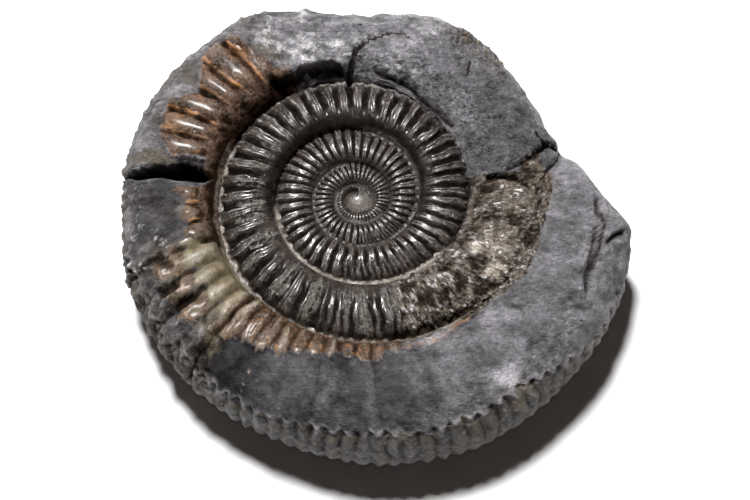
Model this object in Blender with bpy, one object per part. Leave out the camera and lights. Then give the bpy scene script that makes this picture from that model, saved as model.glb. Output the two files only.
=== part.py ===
"""Ammonite fossil: a ribbed, flat-coiled shell turned to stone, as one solid that lies on its side.

The shell is one tube wound round the Z axis, anticlockwise from above. Its upper side is lofted along the
spiral: a column of points crosses the whorl from its inner seam to its outer seam, and on the last turn
from the inner seam to the outline. The reverse is filled with shale that split flat, and the fossil rests
on that face, with the origin where the coiling axis meets it. Lengths are in millimetres until a point
becomes a vertex, and a turn of 1 is 360 degrees.
"""

import math

import bmesh
import bpy
from mathutils import Vector

MM = 0.001

# How fine the loft is.
COLUMNS_PER_TURN = 144
UMBILICAL_ROWS = 2
OUTER_FLANK_ROWS = 4
LOWER_RIM_ROWS = 4

# The coil from above: the radius of the seam between two whorls at each quarter turn.
QUARTER_TURN = 0.25
FIRST_SEAM_TURN = -2.0
SEAM_RADII = (2.7, 3.2, 3.8, 4.6, 5.8, 6.8, 7.8, 9.2, 10.9, 12.9, 14.4, 16.7, 19.6, 21.8, 24.5, 28.2, 32.2)
FIRST_TURN = -1.75
CENTRE_BOSS_HEIGHT = 0.2

# The outline from above, as (degrees, radius). The mouth is snapped off between 350 and 375 degrees.
END_OF_COIL = 15
OUTLINE = (
    (15, 37.6), (20, 36.7), (30, 36.2), (40, 36.6), (50, 37.2), (60, 37.8), (66, 37.8), (72, 37.1), (80, 36.0),
    (90, 35.7), (98, 36.3), (106, 37.6), (113, 39.6), (120, 40.8), (130, 40.3), (145, 41.0), (160, 41.5),
    (180, 41.8), (195, 42.6), (210, 43.4), (225, 44.3), (240, 45.0), (250, 45.4), (260, 46.3), (270, 47.5),
    (280, 48.3), (290, 49.0), (300, 49.5), (315, 49.5), (330, 49.8), (340, 50.2), (346, 49.6), (350, 48.9),
    (353, 46.7), (357, 43.5), (362, 41.0), (367, 39.4), (372, 38.1), (375, 37.6),
)

# The coil from the side.
MID_HEIGHT = 11.0
HALF_THICKNESS_AT_START = 4.5
THICKNESS_GROWTH = 1.72
MOST_HALF_THICKNESS = 10.6
SEAM_SHARE_OF_HALF_THICKNESS = 0.45
CREST_SHARE_OF_WIDTH = 0.42
WHORL_ROUNDNESS = 2.3
RIM_ROUNDNESS = 2.7
LOWER_RIM_WIDTH = 12.0

# Towards the mouth, rock fills the seam, which then runs over the edge and down to the rim.
SEAM_FILLS_FROM = 1.80
SEAM_FILLS_TO = 1.93
FILLED_SEAM_HEIGHT = 17.5
SEAM_LEAVES_FLANK_AT = 2.0

# Bare rock fills the start of the last whorl, and slopes up from the seam without a shoulder.
ROCK_BEGINS_FROM = 0.98
ROCK_BEGINS_TO = 1.01
ROCK_STEEPENS_FROM = 1.18
ROCK_STEEPENS_TO = 1.25

# Ribs: every third column of points is raised, save where bare rock replaces the shell.
COLUMNS_PER_RIB = 3
RIB_SHARE_OF_WIDTH = 0.05
MOST_RIB_HEIGHT = 0.6
RIBS_FADE_FROM = 0.75
RIBS_FADE_TO = 0.83
RIBS_BEGIN_AGAIN = 1.30
RIBS_FULL_AGAIN = 1.36
RIBS_END_FROM = 1.70
RIBS_END_TO = 1.85

# The open crack across the last whorl, cut by a wedge whose floor rises towards the coil.
CRACK_OUTER_END = (-46.0, 2.9)
CRACK_INNER_END = (-26.5, 1.1)
CRACK_OUTER_WIDTH = 3.4
CRACK_INNER_WIDTH = 1.8
CRACK_TOP = 26.0
CRACK_OUTER_FLOOR = 9.0
CRACK_INNER_FLOOR = 15.0

STONE_COLOUR = (0.085, 0.080, 0.078, 1.0)
STONE_ROUGHNESS = 0.62
SMOOTH_ANGLE = math.radians(50)

LAST_TURN = 2 + END_OF_COIL / 360


def fade(low, high, x):
    """0 up to low, 1 from high on, and smooth between them."""
    s = min(1.0, max(0.0, (x - low) / (high - low)))
    return s * s * (3 - 2 * s)


def smooth_curve(points, x):
    """Height at x of a smooth curve through (x, y) points, which doesn't overshoot between them."""

    def slope(i):
        if i in (0, len(points) - 1):
            return 0.0
        before = (points[i][1] - points[i - 1][1]) / (points[i][0] - points[i - 1][0])
        after = (points[i + 1][1] - points[i][1]) / (points[i + 1][0] - points[i][0])
        return 0.0 if before * after <= 0 else 2 * before * after / (before + after)

    passed = sum(1 for point in points if point[0] <= x)
    k = min(len(points) - 2, max(0, passed - 1))
    (x0, y0), (x1, y1) = points[k], points[k + 1]
    step = x1 - x0
    s = min(1.0, max(0.0, (x - x0) / step))
    bend = s * (1 - s) ** 2 * slope(k) - s * s * (1 - s) * slope(k + 1)
    return y0 + (y1 - y0) * s * s * (3 - 2 * s) + step * bend


SEAM_CURVE = [
    (FIRST_SEAM_TURN + QUARTER_TURN * i, math.log(radius)) for i, radius in enumerate(SEAM_RADII)
]


def outline_radius(turn):
    return smooth_curve(OUTLINE, END_OF_COIL + (turn * 360 - END_OF_COIL) % 360)


def seam_radius(turn):
    """Radius of the seam inside the whorl at this turn. It meets the outline where the coil ends."""
    radius = math.exp(smooth_curve(SEAM_CURVE, turn))
    leaving = fade(SEAM_LEAVES_FLANK_AT, LAST_TURN, turn)
    return radius + (outline_radius(LAST_TURN) - radius) * leaving


def half_thickness(turn):
    return min(MOST_HALF_THICKNESS, HALF_THICKNESS_AT_START * THICKNESS_GROWTH**turn)


def seam_height(turn):
    height = MID_HEIGHT + SEAM_SHARE_OF_HALF_THICKNESS * half_thickness(turn - 1)
    height += (FILLED_SEAM_HEIGHT - height) * fade(SEAM_FILLS_FROM, SEAM_FILLS_TO, turn)
    return height + (MID_HEIGHT - height) * fade(SEAM_LEAVES_FLANK_AT, LAST_TURN, turn)


def rib_height(turn, width):
    """Height of a rib on a whorl of this width, which is nothing on the rock that replaces the shell."""
    bare = fade(RIBS_FADE_FROM, RIBS_FADE_TO, turn) - fade(RIBS_BEGIN_AGAIN, RIBS_FULL_AGAIN, turn)
    shell = (1 - bare) * (1 - fade(RIBS_END_FROM, RIBS_END_TO, turn))
    return shell * min(MOST_RIB_HEIGHT, RIB_SHARE_OF_WIDTH * width)


def quarter_round(share, roundness):
    """Point on a quarter of a superellipse, from (0, 1) at share 0 to (1, 0) at share 1."""
    angle = share * math.pi / 2
    return math.sin(angle) ** (2 / roundness), math.cos(angle) ** (2 / roundness)


def point(turn, radius, height):
    angle = turn * math.tau
    return Vector((radius * math.cos(angle), radius * math.sin(angle), height)) * MM


def flank_column(turn, is_rib):
    """Points across a whorl's upper side, from just past its inner seam to just short of its outer edge."""
    on_last_turn = turn + 1 > LAST_TURN
    inner = seam_radius(turn)
    inner_height = seam_height(turn)
    outer = outline_radius(turn) if on_last_turn else seam_radius(turn + 1)
    outer_height = MID_HEIGHT if on_last_turn else seam_height(turn + 1)
    roundness = RIM_ROUNDNESS if on_last_turn else WHORL_ROUNDNESS
    crest = inner + CREST_SHARE_OF_WIDTH * (outer - inner)
    top = MID_HEIGHT + half_thickness(turn)
    top += (inner_height - top) * fade(SEAM_LEAVES_FLANK_AT, LAST_TURN, turn)
    rib = rib_height(turn, outer - inner) if is_rib else 0.0
    rock = fade(ROCK_BEGINS_FROM, ROCK_BEGINS_TO, turn) - fade(ROCK_STEEPENS_FROM, ROCK_STEEPENS_TO, turn)
    points = []
    for row in range(1, UMBILICAL_ROWS + 1):
        inward, up = quarter_round(1 - row / UMBILICAL_ROWS, WHORL_ROUNDNESS)
        up += (math.sin((1 - inward) * math.pi / 2) - up) * rock
        height = inner_height + up * (top - inner_height)
        points.append(point(turn, crest - inward * (crest - inner), height + up * rib))
    for row in range(1, OUTER_FLANK_ROWS):
        outward, up = quarter_round(row / OUTER_FLANK_ROWS, roundness)
        height = outer_height + up * (top - outer_height)
        points.append(point(turn, crest + outward * (outer - crest), height + up * rib))
    return points


def loft_upper_side(bm):
    """Adds the coiled upper side, and returns its outer edge as a closed ring at mid height."""
    columns = round((LAST_TURN - FIRST_TURN) * COLUMNS_PER_TURN)
    turns = [LAST_TURN - (columns - i) / COLUMNS_PER_TURN for i in range(columns + 1)]
    seam = [bm.verts.new(point(turn, seam_radius(turn), seam_height(turn))) for turn in turns]
    last_turn = turns[-COLUMNS_PER_TURN:-1]
    rim = [bm.verts.new(point(turn, outline_radius(turn), MID_HEIGHT)) for turn in last_turn]
    outer_edge = [*seam[COLUMNS_PER_TURN:], *rim]
    ladder = []
    for i, turn in enumerate(turns[:-1]):
        flank = [bm.verts.new(place) for place in flank_column(turn, i % COLUMNS_PER_RIB == 0)]
        ladder.append([seam[i], *flank, outer_edge[i]])
    for here, after in zip(ladder, ladder[1:]):
        for row in range(len(here) - 1):
            bm.faces.new((here[row], here[row + 1], after[row + 1], after[row]))
    for near, far in zip(ladder[-1], ladder[-1][1:]):
        bm.faces.new((near, far, seam[-1]))
    centre = bm.verts.new(point(0, 0, seam_height(FIRST_TURN) + CENTRE_BOSS_HEIGHT))
    opening = seam[: COLUMNS_PER_TURN + 1] + ladder[0][-2:0:-1]
    for near, far in zip(opening, opening[1:] + opening[:1]):
        bm.faces.new((centre, near, far))
    return [seam[-1], *rim]


def loft_lower_side(bm, rim):
    """Adds the lower half of the rim, and closes it with the flat face that the fossil rests on."""
    above = rim
    for row in range(1, LOWER_RIM_ROWS + 1):
        down, inward = quarter_round(row / LOWER_RIM_ROWS, RIM_ROUNDNESS)
        below = []
        for i in range(COLUMNS_PER_TURN):
            turn = LAST_TURN + i / COLUMNS_PER_TURN
            radius = outline_radius(turn) - LOWER_RIM_WIDTH * (1 - inward)
            below.append(bm.verts.new(point(turn, radius, MID_HEIGHT * (1 - down))))
        for i in range(COLUMNS_PER_TURN):
            bm.faces.new((above[i - 1], below[i - 1], below[i], above[i]))
        above = below
    bm.faces.new(above[::-1])


def new_object(name, bm, collection):
    mesh = bpy.data.meshes.new(name)
    bm.to_mesh(mesh)
    bm.free()
    made = bpy.data.objects.new(name, mesh)
    collection.objects.link(made)
    return made


def build_crack_cutter(collection):
    """A wedge with its edge down, as wide as the open crack at its top."""
    bm = bmesh.new()
    ends = []
    for (x, y), width, floor in (
        (CRACK_OUTER_END, CRACK_OUTER_WIDTH, CRACK_OUTER_FLOOR),
        (CRACK_INNER_END, CRACK_INNER_WIDTH, CRACK_INNER_FLOOR),
    ):
        corners = ((x, y, floor), (x, y + width / 2, CRACK_TOP), (x, y - width / 2, CRACK_TOP))
        ends.append([bm.verts.new(Vector(corner) * MM) for corner in corners])
    outer, inner = ends
    bm.faces.new(outer)
    bm.faces.new(inner[::-1])
    for i in range(len(outer)):
        bm.faces.new((outer[i - 1], inner[i - 1], inner[i], outer[i]))
    bmesh.ops.recalc_face_normals(bm, faces=bm.faces)
    cutter = new_object("crack_cutter", bm, collection)
    cutter.hide_render = True
    cutter.display_type = "WIRE"
    return cutter


def make_stone():
    stone = bpy.data.materials.new("fossil_stone")
    stone.use_nodes = True
    shader = stone.node_tree.nodes["Principled BSDF"]
    shader.inputs["Base Color"].default_value = STONE_COLOUR
    shader.inputs["Roughness"].default_value = STONE_ROUGHNESS
    shader.inputs["Metallic"].default_value = 0.0
    return stone


def build_fossil(collection, crack_cutter):
    bm = bmesh.new()
    loft_lower_side(bm, loft_upper_side(bm))
    bmesh.ops.recalc_face_normals(bm, faces=bm.faces)
    fossil = new_object("ammonite_fossil", bm, collection)
    fossil.data.shade_smooth()
    fossil.data.set_sharp_from_angle(angle=SMOOTH_ANGLE)
    fossil.data.materials.append(make_stone())
    crack = fossil.modifiers.new("open crack", "BOOLEAN")
    crack.operation = "DIFFERENCE"
    crack.solver = "EXACT"
    crack.object = crack_cutter


def new_collection(name):
    collection = bpy.data.collections.new(name)
    bpy.context.scene.collection.children.link(collection)
    return collection


def main():
    for leftover in list(bpy.data.objects):
        bpy.data.objects.remove(leftover)
    crack_cutter = build_crack_cutter(new_collection("cutters"))
    build_fossil(new_collection("ammonite fossil"), crack_cutter)


main()
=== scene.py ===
"""Looks of an ammonite fossil that lies on its side: a ribbed shell in dark shale, as one closed mesh.

The coil is measured in millimetres and turns. Turn 0 lies along +X, and each turn adds 360 degrees
anticlockwise from above. A whorl is the strip between the seam at a turn and the seam one turn later.
"""

from __future__ import annotations

import logging
import math
from dataclasses import dataclass, field
from enum import Enum
from typing import Optional, Sequence, Union

import bpy
import numpy as np
from mathutils import Euler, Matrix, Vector

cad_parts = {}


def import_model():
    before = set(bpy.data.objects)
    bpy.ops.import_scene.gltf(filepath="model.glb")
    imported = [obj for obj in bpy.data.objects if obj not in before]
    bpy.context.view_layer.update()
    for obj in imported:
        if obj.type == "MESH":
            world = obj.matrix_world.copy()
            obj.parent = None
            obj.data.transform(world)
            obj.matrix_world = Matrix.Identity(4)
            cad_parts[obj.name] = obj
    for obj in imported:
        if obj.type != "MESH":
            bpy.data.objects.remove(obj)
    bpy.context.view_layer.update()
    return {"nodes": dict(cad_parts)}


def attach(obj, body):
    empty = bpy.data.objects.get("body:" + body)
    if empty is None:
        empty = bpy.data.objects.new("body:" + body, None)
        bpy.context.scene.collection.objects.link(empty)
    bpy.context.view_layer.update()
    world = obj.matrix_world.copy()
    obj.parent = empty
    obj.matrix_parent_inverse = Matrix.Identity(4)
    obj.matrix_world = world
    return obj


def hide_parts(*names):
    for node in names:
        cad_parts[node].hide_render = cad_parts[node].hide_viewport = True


MM = 0.001
NODE = "ammonite_fossil"

log = logging.getLogger("ammonite")

Array = np.ndarray
Pairs = Sequence[tuple[float, float]]


# ---------------------------------------------------------------------------------------------------
# Curves, fades and stone noise
# ---------------------------------------------------------------------------------------------------


def rise(low: float, high: float, x: Array) -> Array:
    """Returns 0 up to low, 1 from high on, and smooth between them; low may be the larger."""
    s = np.clip((x - low) / (high - low), 0.0, 1.0)
    return s * s * (3 - 2 * s)


def band(low: float, high: float, soft: float, x: Array) -> Array:
    """Returns 1 between low and high, fading to 0 over soft on each side."""
    return rise(low - soft, low, x) * (1 - rise(high, high + soft, x))


def bump(centre: float, width: float, x: Array) -> Array:
    """Returns a round hill of height 1 at centre that falls off over width."""
    return np.exp(-(((x - centre) / width) ** 2))


class Curve:
    """A smooth curve through points that doesn't overshoot between them."""

    def __init__(self, points: Pairs) -> None:
        """Works out the slopes at the points.

        Args:
            points: (x, y) pairs in order of x.
        """
        self.x = np.array([p[0] for p in points], float)
        self.y = np.array([p[1] for p in points], float)
        steps = np.diff(self.y) / np.diff(self.x)
        before, after = steps[:-1], steps[1:]
        same = before * after > 0
        total = np.where(same, before + after, 1.0)
        inner = np.where(same, 2 * before * after / total, 0.0)
        self.slope = np.concatenate([[0.0], inner, [0.0]])

    def __call__(self, x: Array) -> Array:
        """Returns the curve's height at each x."""
        k = np.clip(np.searchsorted(self.x, x, side="right") - 1, 0, len(self.x) - 2)
        step = self.x[k + 1] - self.x[k]
        s = np.clip((x - self.x[k]) / step, 0.0, 1.0)
        ease = s * s * (3 - 2 * s)
        bend = s * (1 - s) ** 2 * self.slope[k] - s * s * (1 - s) * self.slope[k + 1]
        return self.y[k] + (self.y[k + 1] - self.y[k]) * ease + step * bend


@dataclass(frozen=True)
class StoneNoise:
    """Repeatable random texture in space, with points in millimetres."""

    seed: int

    def _hash(self, ix: Array, iy: Array, iz: Array, salt: int = 0) -> Array:
        """Returns a random number from 0 to 1 for each cell of a cubic lattice."""
        h = ix.astype(np.uint32) * np.uint32(374761393)
        h = h + iy.astype(np.uint32) * np.uint32(668265263)
        h = h + iz.astype(np.uint32) * np.uint32(2246822519)
        h = h + np.uint32((self.seed * 3266489917 + salt * 2654435761) % 2**32)
        h = (h ^ (h >> np.uint32(15))) * np.uint32(2246822519)
        h = (h ^ (h >> np.uint32(13))) * np.uint32(3266489917)
        h = h ^ (h >> np.uint32(16))
        return (h & np.uint32(0xFFFFFF)).astype(float) / 0xFFFFFF

    def soft(self, points: Array, size: float) -> Array:
        """Returns smooth noise from -1 to 1 with lumps of about this size."""
        p = points / size
        cell = np.floor(p).astype(np.int64)
        s = p - cell
        s = s * s * s * (s * (s * 6 - 15) + 10)
        total = np.zeros(len(points))
        for corner in range(8):
            dx, dy, dz = corner & 1, corner >> 1 & 1, corner >> 2 & 1
            weight = (s[:, 0] if dx else 1 - s[:, 0]) * (s[:, 1] if dy else 1 - s[:, 1])
            weight = weight * (s[:, 2] if dz else 1 - s[:, 2])
            total += weight * self._hash(cell[:, 0] + dx, cell[:, 1] + dy, cell[:, 2] + dz)
        return total * 2 - 1

    def rough(self, points: Array, size: float, octaves: int = 4, gain: float = 0.5) -> Array:
        """Returns noise of several sizes, each half the last, from about -1 to 1."""
        total = np.zeros(len(points))
        weight, reach = 1.0, 0.0
        for octave in range(octaves):
            shifted = points + 17.3 * octave
            total += weight * self.soft(shifted, size / 2**octave)
            reach += weight
            weight *= gain
        return total / reach

    def creased(self, points: Array, size: float, octaves: int = 4) -> Array:
        """Returns noise with sharp ridges, from 0 in the hollows to 1 on the ridges."""
        total = np.zeros(len(points))
        weight, reach = 1.0, 0.0
        for octave in range(octaves):
            shifted = points - 11.9 * octave
            total += weight * (1 - np.abs(self.soft(shifted, size / 2**octave)) * 2).clip(0, 1)
            reach += weight
            weight *= 0.5
        return total / reach

    def cells(self, points: Array, size: float) -> tuple[Array, Array, Array]:
        """Splits space into random grains.

        Args:
            points: where to look, one row a point.
            size: the usual width of a grain.

        Returns:
            How far each point is from its grain's centre, how far it is from the nearest edge between
            grains, both in grain widths, and a random number from 0 to 1 for the grain.
        """
        p = points / size
        cell = np.floor(p).astype(np.int64)
        nearest = np.full(len(points), 9.0)
        second = np.full(len(points), 9.0)
        name = np.zeros(len(points))
        for offset in range(27):
            c = cell + np.array([offset % 3 - 1, offset // 3 % 3 - 1, offset // 9 - 1])
            where = np.stack([self._hash(c[:, 0], c[:, 1], c[:, 2], k) for k in (1, 2, 3)], axis=1)
            distance = np.linalg.norm(c + where - p, axis=1)
            closer = distance < nearest
            second = np.where(closer, nearest, np.minimum(second, distance))
            name = np.where(closer, self._hash(c[:, 0], c[:, 1], c[:, 2], 4), name)
            nearest = np.where(closer, distance, nearest)
        return nearest, second - nearest, name


def path_distance(x: Array, y: Array, path: Pairs) -> tuple[Array, Array]:
    """Measures points on the fossil's plan against a path.

    Args:
        x: the points' places along X, in millimetres.
        y: their places along Y.
        path: (degrees, radius) pairs along the path.

    Returns:
        The distance to the path in millimetres, and how far along it the nearest place is, from 0 to 1.
    """
    corners = [(r * math.cos(math.radians(d)), r * math.sin(math.radians(d))) for d, r in path]
    best = np.full(len(x), 1e9)
    along = np.zeros(len(x))
    for k, ((ax, ay), (bx, by)) in enumerate(zip(corners, corners[1:])):
        span = (bx - ax) ** 2 + (by - ay) ** 2
        s = np.clip(((x - ax) * (bx - ax) + (y - ay) * (by - ay)) / span, 0, 1)
        distance = np.hypot(x - ax - s * (bx - ax), y - ay - s * (by - ay))
        closer = distance < best
        along = np.where(closer, (k + s) / (len(corners) - 1), along)
        best = np.where(closer, distance, best)
    return best, along


# ---------------------------------------------------------------------------------------------------
# The coil's shape
# ---------------------------------------------------------------------------------------------------


@dataclass
class Coil:
    """The plain form of the shell and its filling, without ribs, breaks or grain."""

    seam_radii: tuple[float, ...] = (
        1.3, 1.6, 1.9, 2.3, 2.7, 3.2, 3.8, 4.6, 5.8, 6.8, 7.8,
        9.2, 10.9, 12.9, 14.4, 16.7, 19.6, 21.8, 24.5, 28.2, 32.2,
    )
    first_seam_turn: float = -3.0
    end_degrees: float = 15.0
    outline: Pairs = (
        (15, 37.6), (20, 36.7), (30, 36.2), (40, 36.6), (50, 37.2), (60, 37.8), (66, 37.8), (72, 37.1),
        (80, 36.0), (90, 35.7), (98, 36.3), (106, 37.6), (113, 39.6), (120, 40.8), (130, 40.3),
        (145, 41.0), (160, 41.5), (180, 41.8), (195, 42.6), (210, 43.4), (225, 44.3), (240, 45.0),
        (250, 45.4), (260, 46.3), (270, 47.5), (280, 48.3), (290, 49.0), (300, 49.5), (315, 49.5),
        (330, 49.8), (340, 50.2), (346, 49.6), (350, 48.9), (353, 46.7), (357, 43.5), (362, 41.0),
        (367, 39.4), (372, 38.1), (375, 37.6),
    )
    mid_height: float = 11.0
    half_thickness_at_start: float = 4.5
    thickness_growth: float = 1.72
    most_half_thickness: float = 10.6
    seam_share: float = 0.45
    crest_share: float = 0.42
    whorl_roundness: float = 2.3
    rim_roundness: float = 2.7
    break_roundness: float = 5.0
    lower_rim_width: float = 12.0
    filled_seam_height: float = 17.5

    def __post_init__(self) -> None:
        """Prepares the curves of the seam and of the outline."""
        steps = [self.first_seam_turn + 0.25 * i for i in range(len(self.seam_radii))]
        self._seam = Curve([(n, math.log(r)) for n, r in zip(steps, self.seam_radii)])
        self._outline = Curve(self.outline)
        self.last_turn = 2 + self.end_degrees / 360

    def outline_radius(self, turn: Array) -> Array:
        """Returns the outline's radius from above."""
        return self._outline(self.end_degrees + (turn * 360 - self.end_degrees) % 360)

    def seam_radius(self, turn: Array) -> Array:
        """Returns the radius of the seam, which meets the outline where the coil ends."""
        radius = np.exp(self._seam(turn))
        end = float(self.outline_radius(np.array([self.last_turn]))[0])
        return radius + (end - radius) * rise(2.0, self.last_turn, turn)

    def half_thickness(self, turn: Array) -> Array:
        """Returns half the whorl's height."""
        return np.minimum(
            self.most_half_thickness, self.half_thickness_at_start * self.thickness_growth**turn
        )

    def seam_height(self, turn: Array) -> Array:
        """Returns the height of the seam, which rock fills towards the mouth."""
        height = self.mid_height + self.seam_share * self.half_thickness(turn - 1)
        height = height + (self.filled_seam_height - height) * rise(1.80, 1.93, turn)
        return height + (self.mid_height - height) * rise(2.0, self.last_turn, turn)

    def flank(self, turn: Array, share: Array) -> tuple[Array, Array]:
        """Returns the radius and height of points across a whorl's upper side.

        Args:
            turn: each point's turn.
            share: 0 at the inner seam, crest_share at the crest and 1 at the outer edge.

        Returns:
            Radius and height, in millimetres.
        """
        last = turn + 1 > self.last_turn
        inner, low_in = self.seam_radius(turn), self.seam_height(turn)
        next_turn = np.minimum(turn + 1, self.last_turn)
        outer = np.where(last, self.outline_radius(turn), self.seam_radius(next_turn))
        low_out = np.where(last, self.mid_height, self.seam_height(next_turn))
        broken = rise(1.955, 1.975, turn)
        rim = self.rim_roundness + (self.break_roundness - self.rim_roundness) * broken
        roundness = np.where(last, rim, self.whorl_roundness)
        crest = inner + self.crest_share * (outer - inner)
        top = self.mid_height + self.half_thickness(turn)
        top = top + (low_in - top) * rise(2.0, self.last_turn, turn)
        s_in = np.clip(1 - share / self.crest_share, 0, 1) * math.pi / 2
        s_out = np.clip((share - self.crest_share) / (1 - self.crest_share), 0, 1) * math.pi / 2
        inside = share < self.crest_share
        power = 2 / self.whorl_roundness
        radius = np.where(
            inside,
            crest - np.sin(s_in) ** power * (crest - inner),
            crest + np.sin(s_out) ** (2 / roundness) * (outer - crest),
        )
        height = np.where(
            inside,
            low_in + np.cos(s_in).clip(0) ** power * (top - low_in),
            low_out + np.cos(s_out).clip(0) ** (2 / roundness) * (top - low_out),
        )
        return radius, height


class Side(Enum):
    """Which side of the fossil a point is on."""

    COIL = 0
    UNDER = 1


@dataclass
class Skin:
    """All points of the closed surface, with their place on the coil, and the faces between them."""

    turn: Array
    share: Array
    side: Array
    base: Array
    faces: list[tuple[int, ...]]
    normal: Array = field(default_factory=lambda: np.zeros((0, 3)))

    def __post_init__(self) -> None:
        """Works out plan coordinates and the average normal at each point."""
        self.x, self.y, self.z = self.base.T
        self.radius = np.hypot(self.x, self.y)
        mesh = bpy.data.meshes.new("skin")
        mesh.from_pydata(self.base.tolist(), [], self.faces)
        normal = np.empty(len(self.base) * 3, np.float32)
        mesh.vertices.foreach_get("normal", normal)
        bpy.data.meshes.remove(mesh)
        self.normal = normal.reshape(-1, 3).astype(float)
        self.degrees = self.turn * 360


@dataclass
class SkinMaker:
    """Lays points over the coil in columns across each whorl, finer towards the outside."""

    coil: Coil
    columns: int = 800
    first_turn: float = -2.75
    strips: tuple[tuple[float, int, int], ...] = (
        (-9.0, 2, 7), (-1.75, 2, 13), (-1.0, 2, 22), (0.0, 1, 29), (1.04, 1, 58),
    )
    rim_rows: int = 6
    under_rows: int = 11
    floor_rings: tuple[tuple[float, int], ...] = (
        (0.965, 400), (0.93, 200), (0.89, 200), (0.85, 200), (0.81, 200), (0.77, 200), (0.73, 200), (0.69, 200),
        (0.65, 200), (0.61, 200), (0.57, 200), (0.53, 200), (0.49, 100), (0.45, 100), (0.41, 100), (0.37, 100),
        (0.33, 100), (0.28, 100), (0.23, 50), (0.18, 50), (0.13, 50), (0.08, 50),
    )

    def strip_at(self, index: int) -> tuple[int, int]:
        """Returns the column step and the number of rows at a column."""
        turn = self.first_turn + index / self.columns
        chosen = self.strips[0]
        for strip in self.strips:
            if turn >= strip[0] - 1e-9:
                chosen = strip
        return chosen[1], chosen[2]

    def make(self) -> Skin:
        """Returns the whole closed skin."""
        self.turn: list[float] = []
        self.share: list[float] = []
        self.under: list[tuple[float, float, float]] = []
        self.faces: list[tuple[int, ...]] = []
        rim = self._coil_side()
        n_top = len(self.turn)
        self._under_side(rim)
        turn, share = np.array(self.turn), np.array(self.share)
        radius, height = self.coil.flank(turn, share)
        angle = turn * math.tau
        top = np.stack([radius * np.cos(angle), radius * np.sin(angle), height], axis=1)
        top[0] = (0, 0, self.coil.seam_height(np.array([self.first_turn]))[0] + 0.3)
        low = np.array(self.under)
        low_turn = np.arctan2(low[:, 1], low[:, 0]) / math.tau
        low_turn = self.coil.last_turn - 1 + (low_turn - self.coil.last_turn) % 1
        side = np.concatenate([np.zeros(n_top, int), np.ones(len(low), int)])
        return Skin(
            turn=np.concatenate([turn, low_turn]),
            share=np.concatenate([share, np.ones(len(low))]),
            side=side,
            base=np.concatenate([top, low]),
            faces=self.faces,
        )

    def _point(self, turn: float, share: float) -> int:
        """Adds a point on the coil side and returns its number."""
        self.turn.append(turn)
        self.share.append(share)
        return len(self.turn) - 1

    def _coil_side(self) -> list[int]:
        """Adds the coil side and returns the points round its rim."""
        n = self.columns
        total = round((self.coil.last_turn - self.first_turn) * n)
        turn_of = [self.coil.last_turn - (total - i) / n for i in range(total + 1)]
        centre = self._point(self.first_turn, 0.0)
        seam: dict[int, int] = {}
        ladder: dict[int, list[int]] = {}
        i = 0
        order = []
        while i < total:
            step, rows = self.strip_at(i)
            seam[i] = self._point(turn_of[i], 0.0)
            ladder[i] = [self._point(turn_of[i], row / rows) for row in range(1, rows)]
            order.append(i)
            i += step
        seam[total] = self._point(turn_of[total], 0.0)
        rim = {i: self._point(turn_of[i], 1.0) for i in range(total - n + 1, total)}
        edge = {i - n: number for i, number in seam.items() if i >= n}
        edge.update(rim)
        for here, after in zip(order, order[1:]):
            across = [edge[i] for i in range(here, after) if i in edge]
            left = [seam[here], *ladder[here], *across[:1]]
            right = [seam[after], *ladder[after], edge[after]]
            if len(left) == len(right):
                for row in range(len(left) - 2):
                    self.faces.append((left[row], left[row + 1], right[row + 1], right[row]))
                self.faces.append((left[-2], *across, right[-1], right[-2]))
            else:
                self._zip([*left, *across[1:]], right)
        last = [seam[order[-1]], *ladder[order[-1]], edge[order[-1]]]
        for near, far in zip(last, last[1:]):
            self.faces.append((near, far, seam[total]))
        start = [number for i, number in sorted(seam.items()) if i <= n]
        opening = start + ladder[0][::-1]
        for near, far in zip(opening, opening[1:] + opening[:1]):
            self.faces.append((centre, near, far))
        return [seam[total]] + [rim[i] for i in sorted(rim)]

    def _zip(self, left: list[int], right: list[int]) -> None:
        """Joins two rows of points of different counts with triangles."""
        a = b = 0
        while a < len(left) - 1 or b < len(right) - 1:
            next_a = (a + 1) / (len(left) - 1)
            next_b = (b + 1) / (len(right) - 1)
            if b == len(right) - 1 or (a < len(left) - 1 and next_a <= next_b):
                self.faces.append((left[a], left[a + 1], right[b]))
                a += 1
            else:
                self.faces.append((left[a], right[b + 1], right[b]))
                b += 1

    def _under_side(self, rim: list[int]) -> None:
        """Adds the lower rim and the flat reverse under a ring of points."""
        coil, n_top = self.coil, len(self.turn)
        rows = self.rim_rows + self.under_rows
        rings = []
        for row in range(1, rows + 1):
            s = row / rows * math.pi / 2
            power = 2 / coil.rim_roundness
            drop = math.sin(s) ** power
            inward = coil.lower_rim_width * (1 - max(math.cos(s), 0.0) ** power)
            count = self.columns if row <= self.rim_rows else self.columns // 2
            rings.append((count, 1.0, inward, coil.mid_height * (1 - drop)))
        rings += [(count, share, coil.lower_rim_width, 0.0) for share, count in self.floor_rings]
        above = rim
        for count, share, inward, height in rings:
            turns = coil.last_turn + np.arange(count) / count
            radius = (coil.outline_radius(turns) - inward) * share
            angle = turns * math.tau
            first = n_top + len(self.under)
            self.under += [
                (r * math.cos(a), r * math.sin(a), height) for r, a in zip(radius, angle)
            ]
            below = list(range(first, first + count))
            ratio = len(above) // count
            for k in range(count):
                upper = [above[(k * ratio + j) % len(above)] for j in range(ratio + 1)]
                self.faces.append((*upper[::-1], below[k], below[(k + 1) % count]))
            above = below
        self.faces.append(tuple(above[::-1]))


# ---------------------------------------------------------------------------------------------------
# Relief: what each stretch of the surface adds to the plain form, and which finish it wears
# ---------------------------------------------------------------------------------------------------


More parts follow.
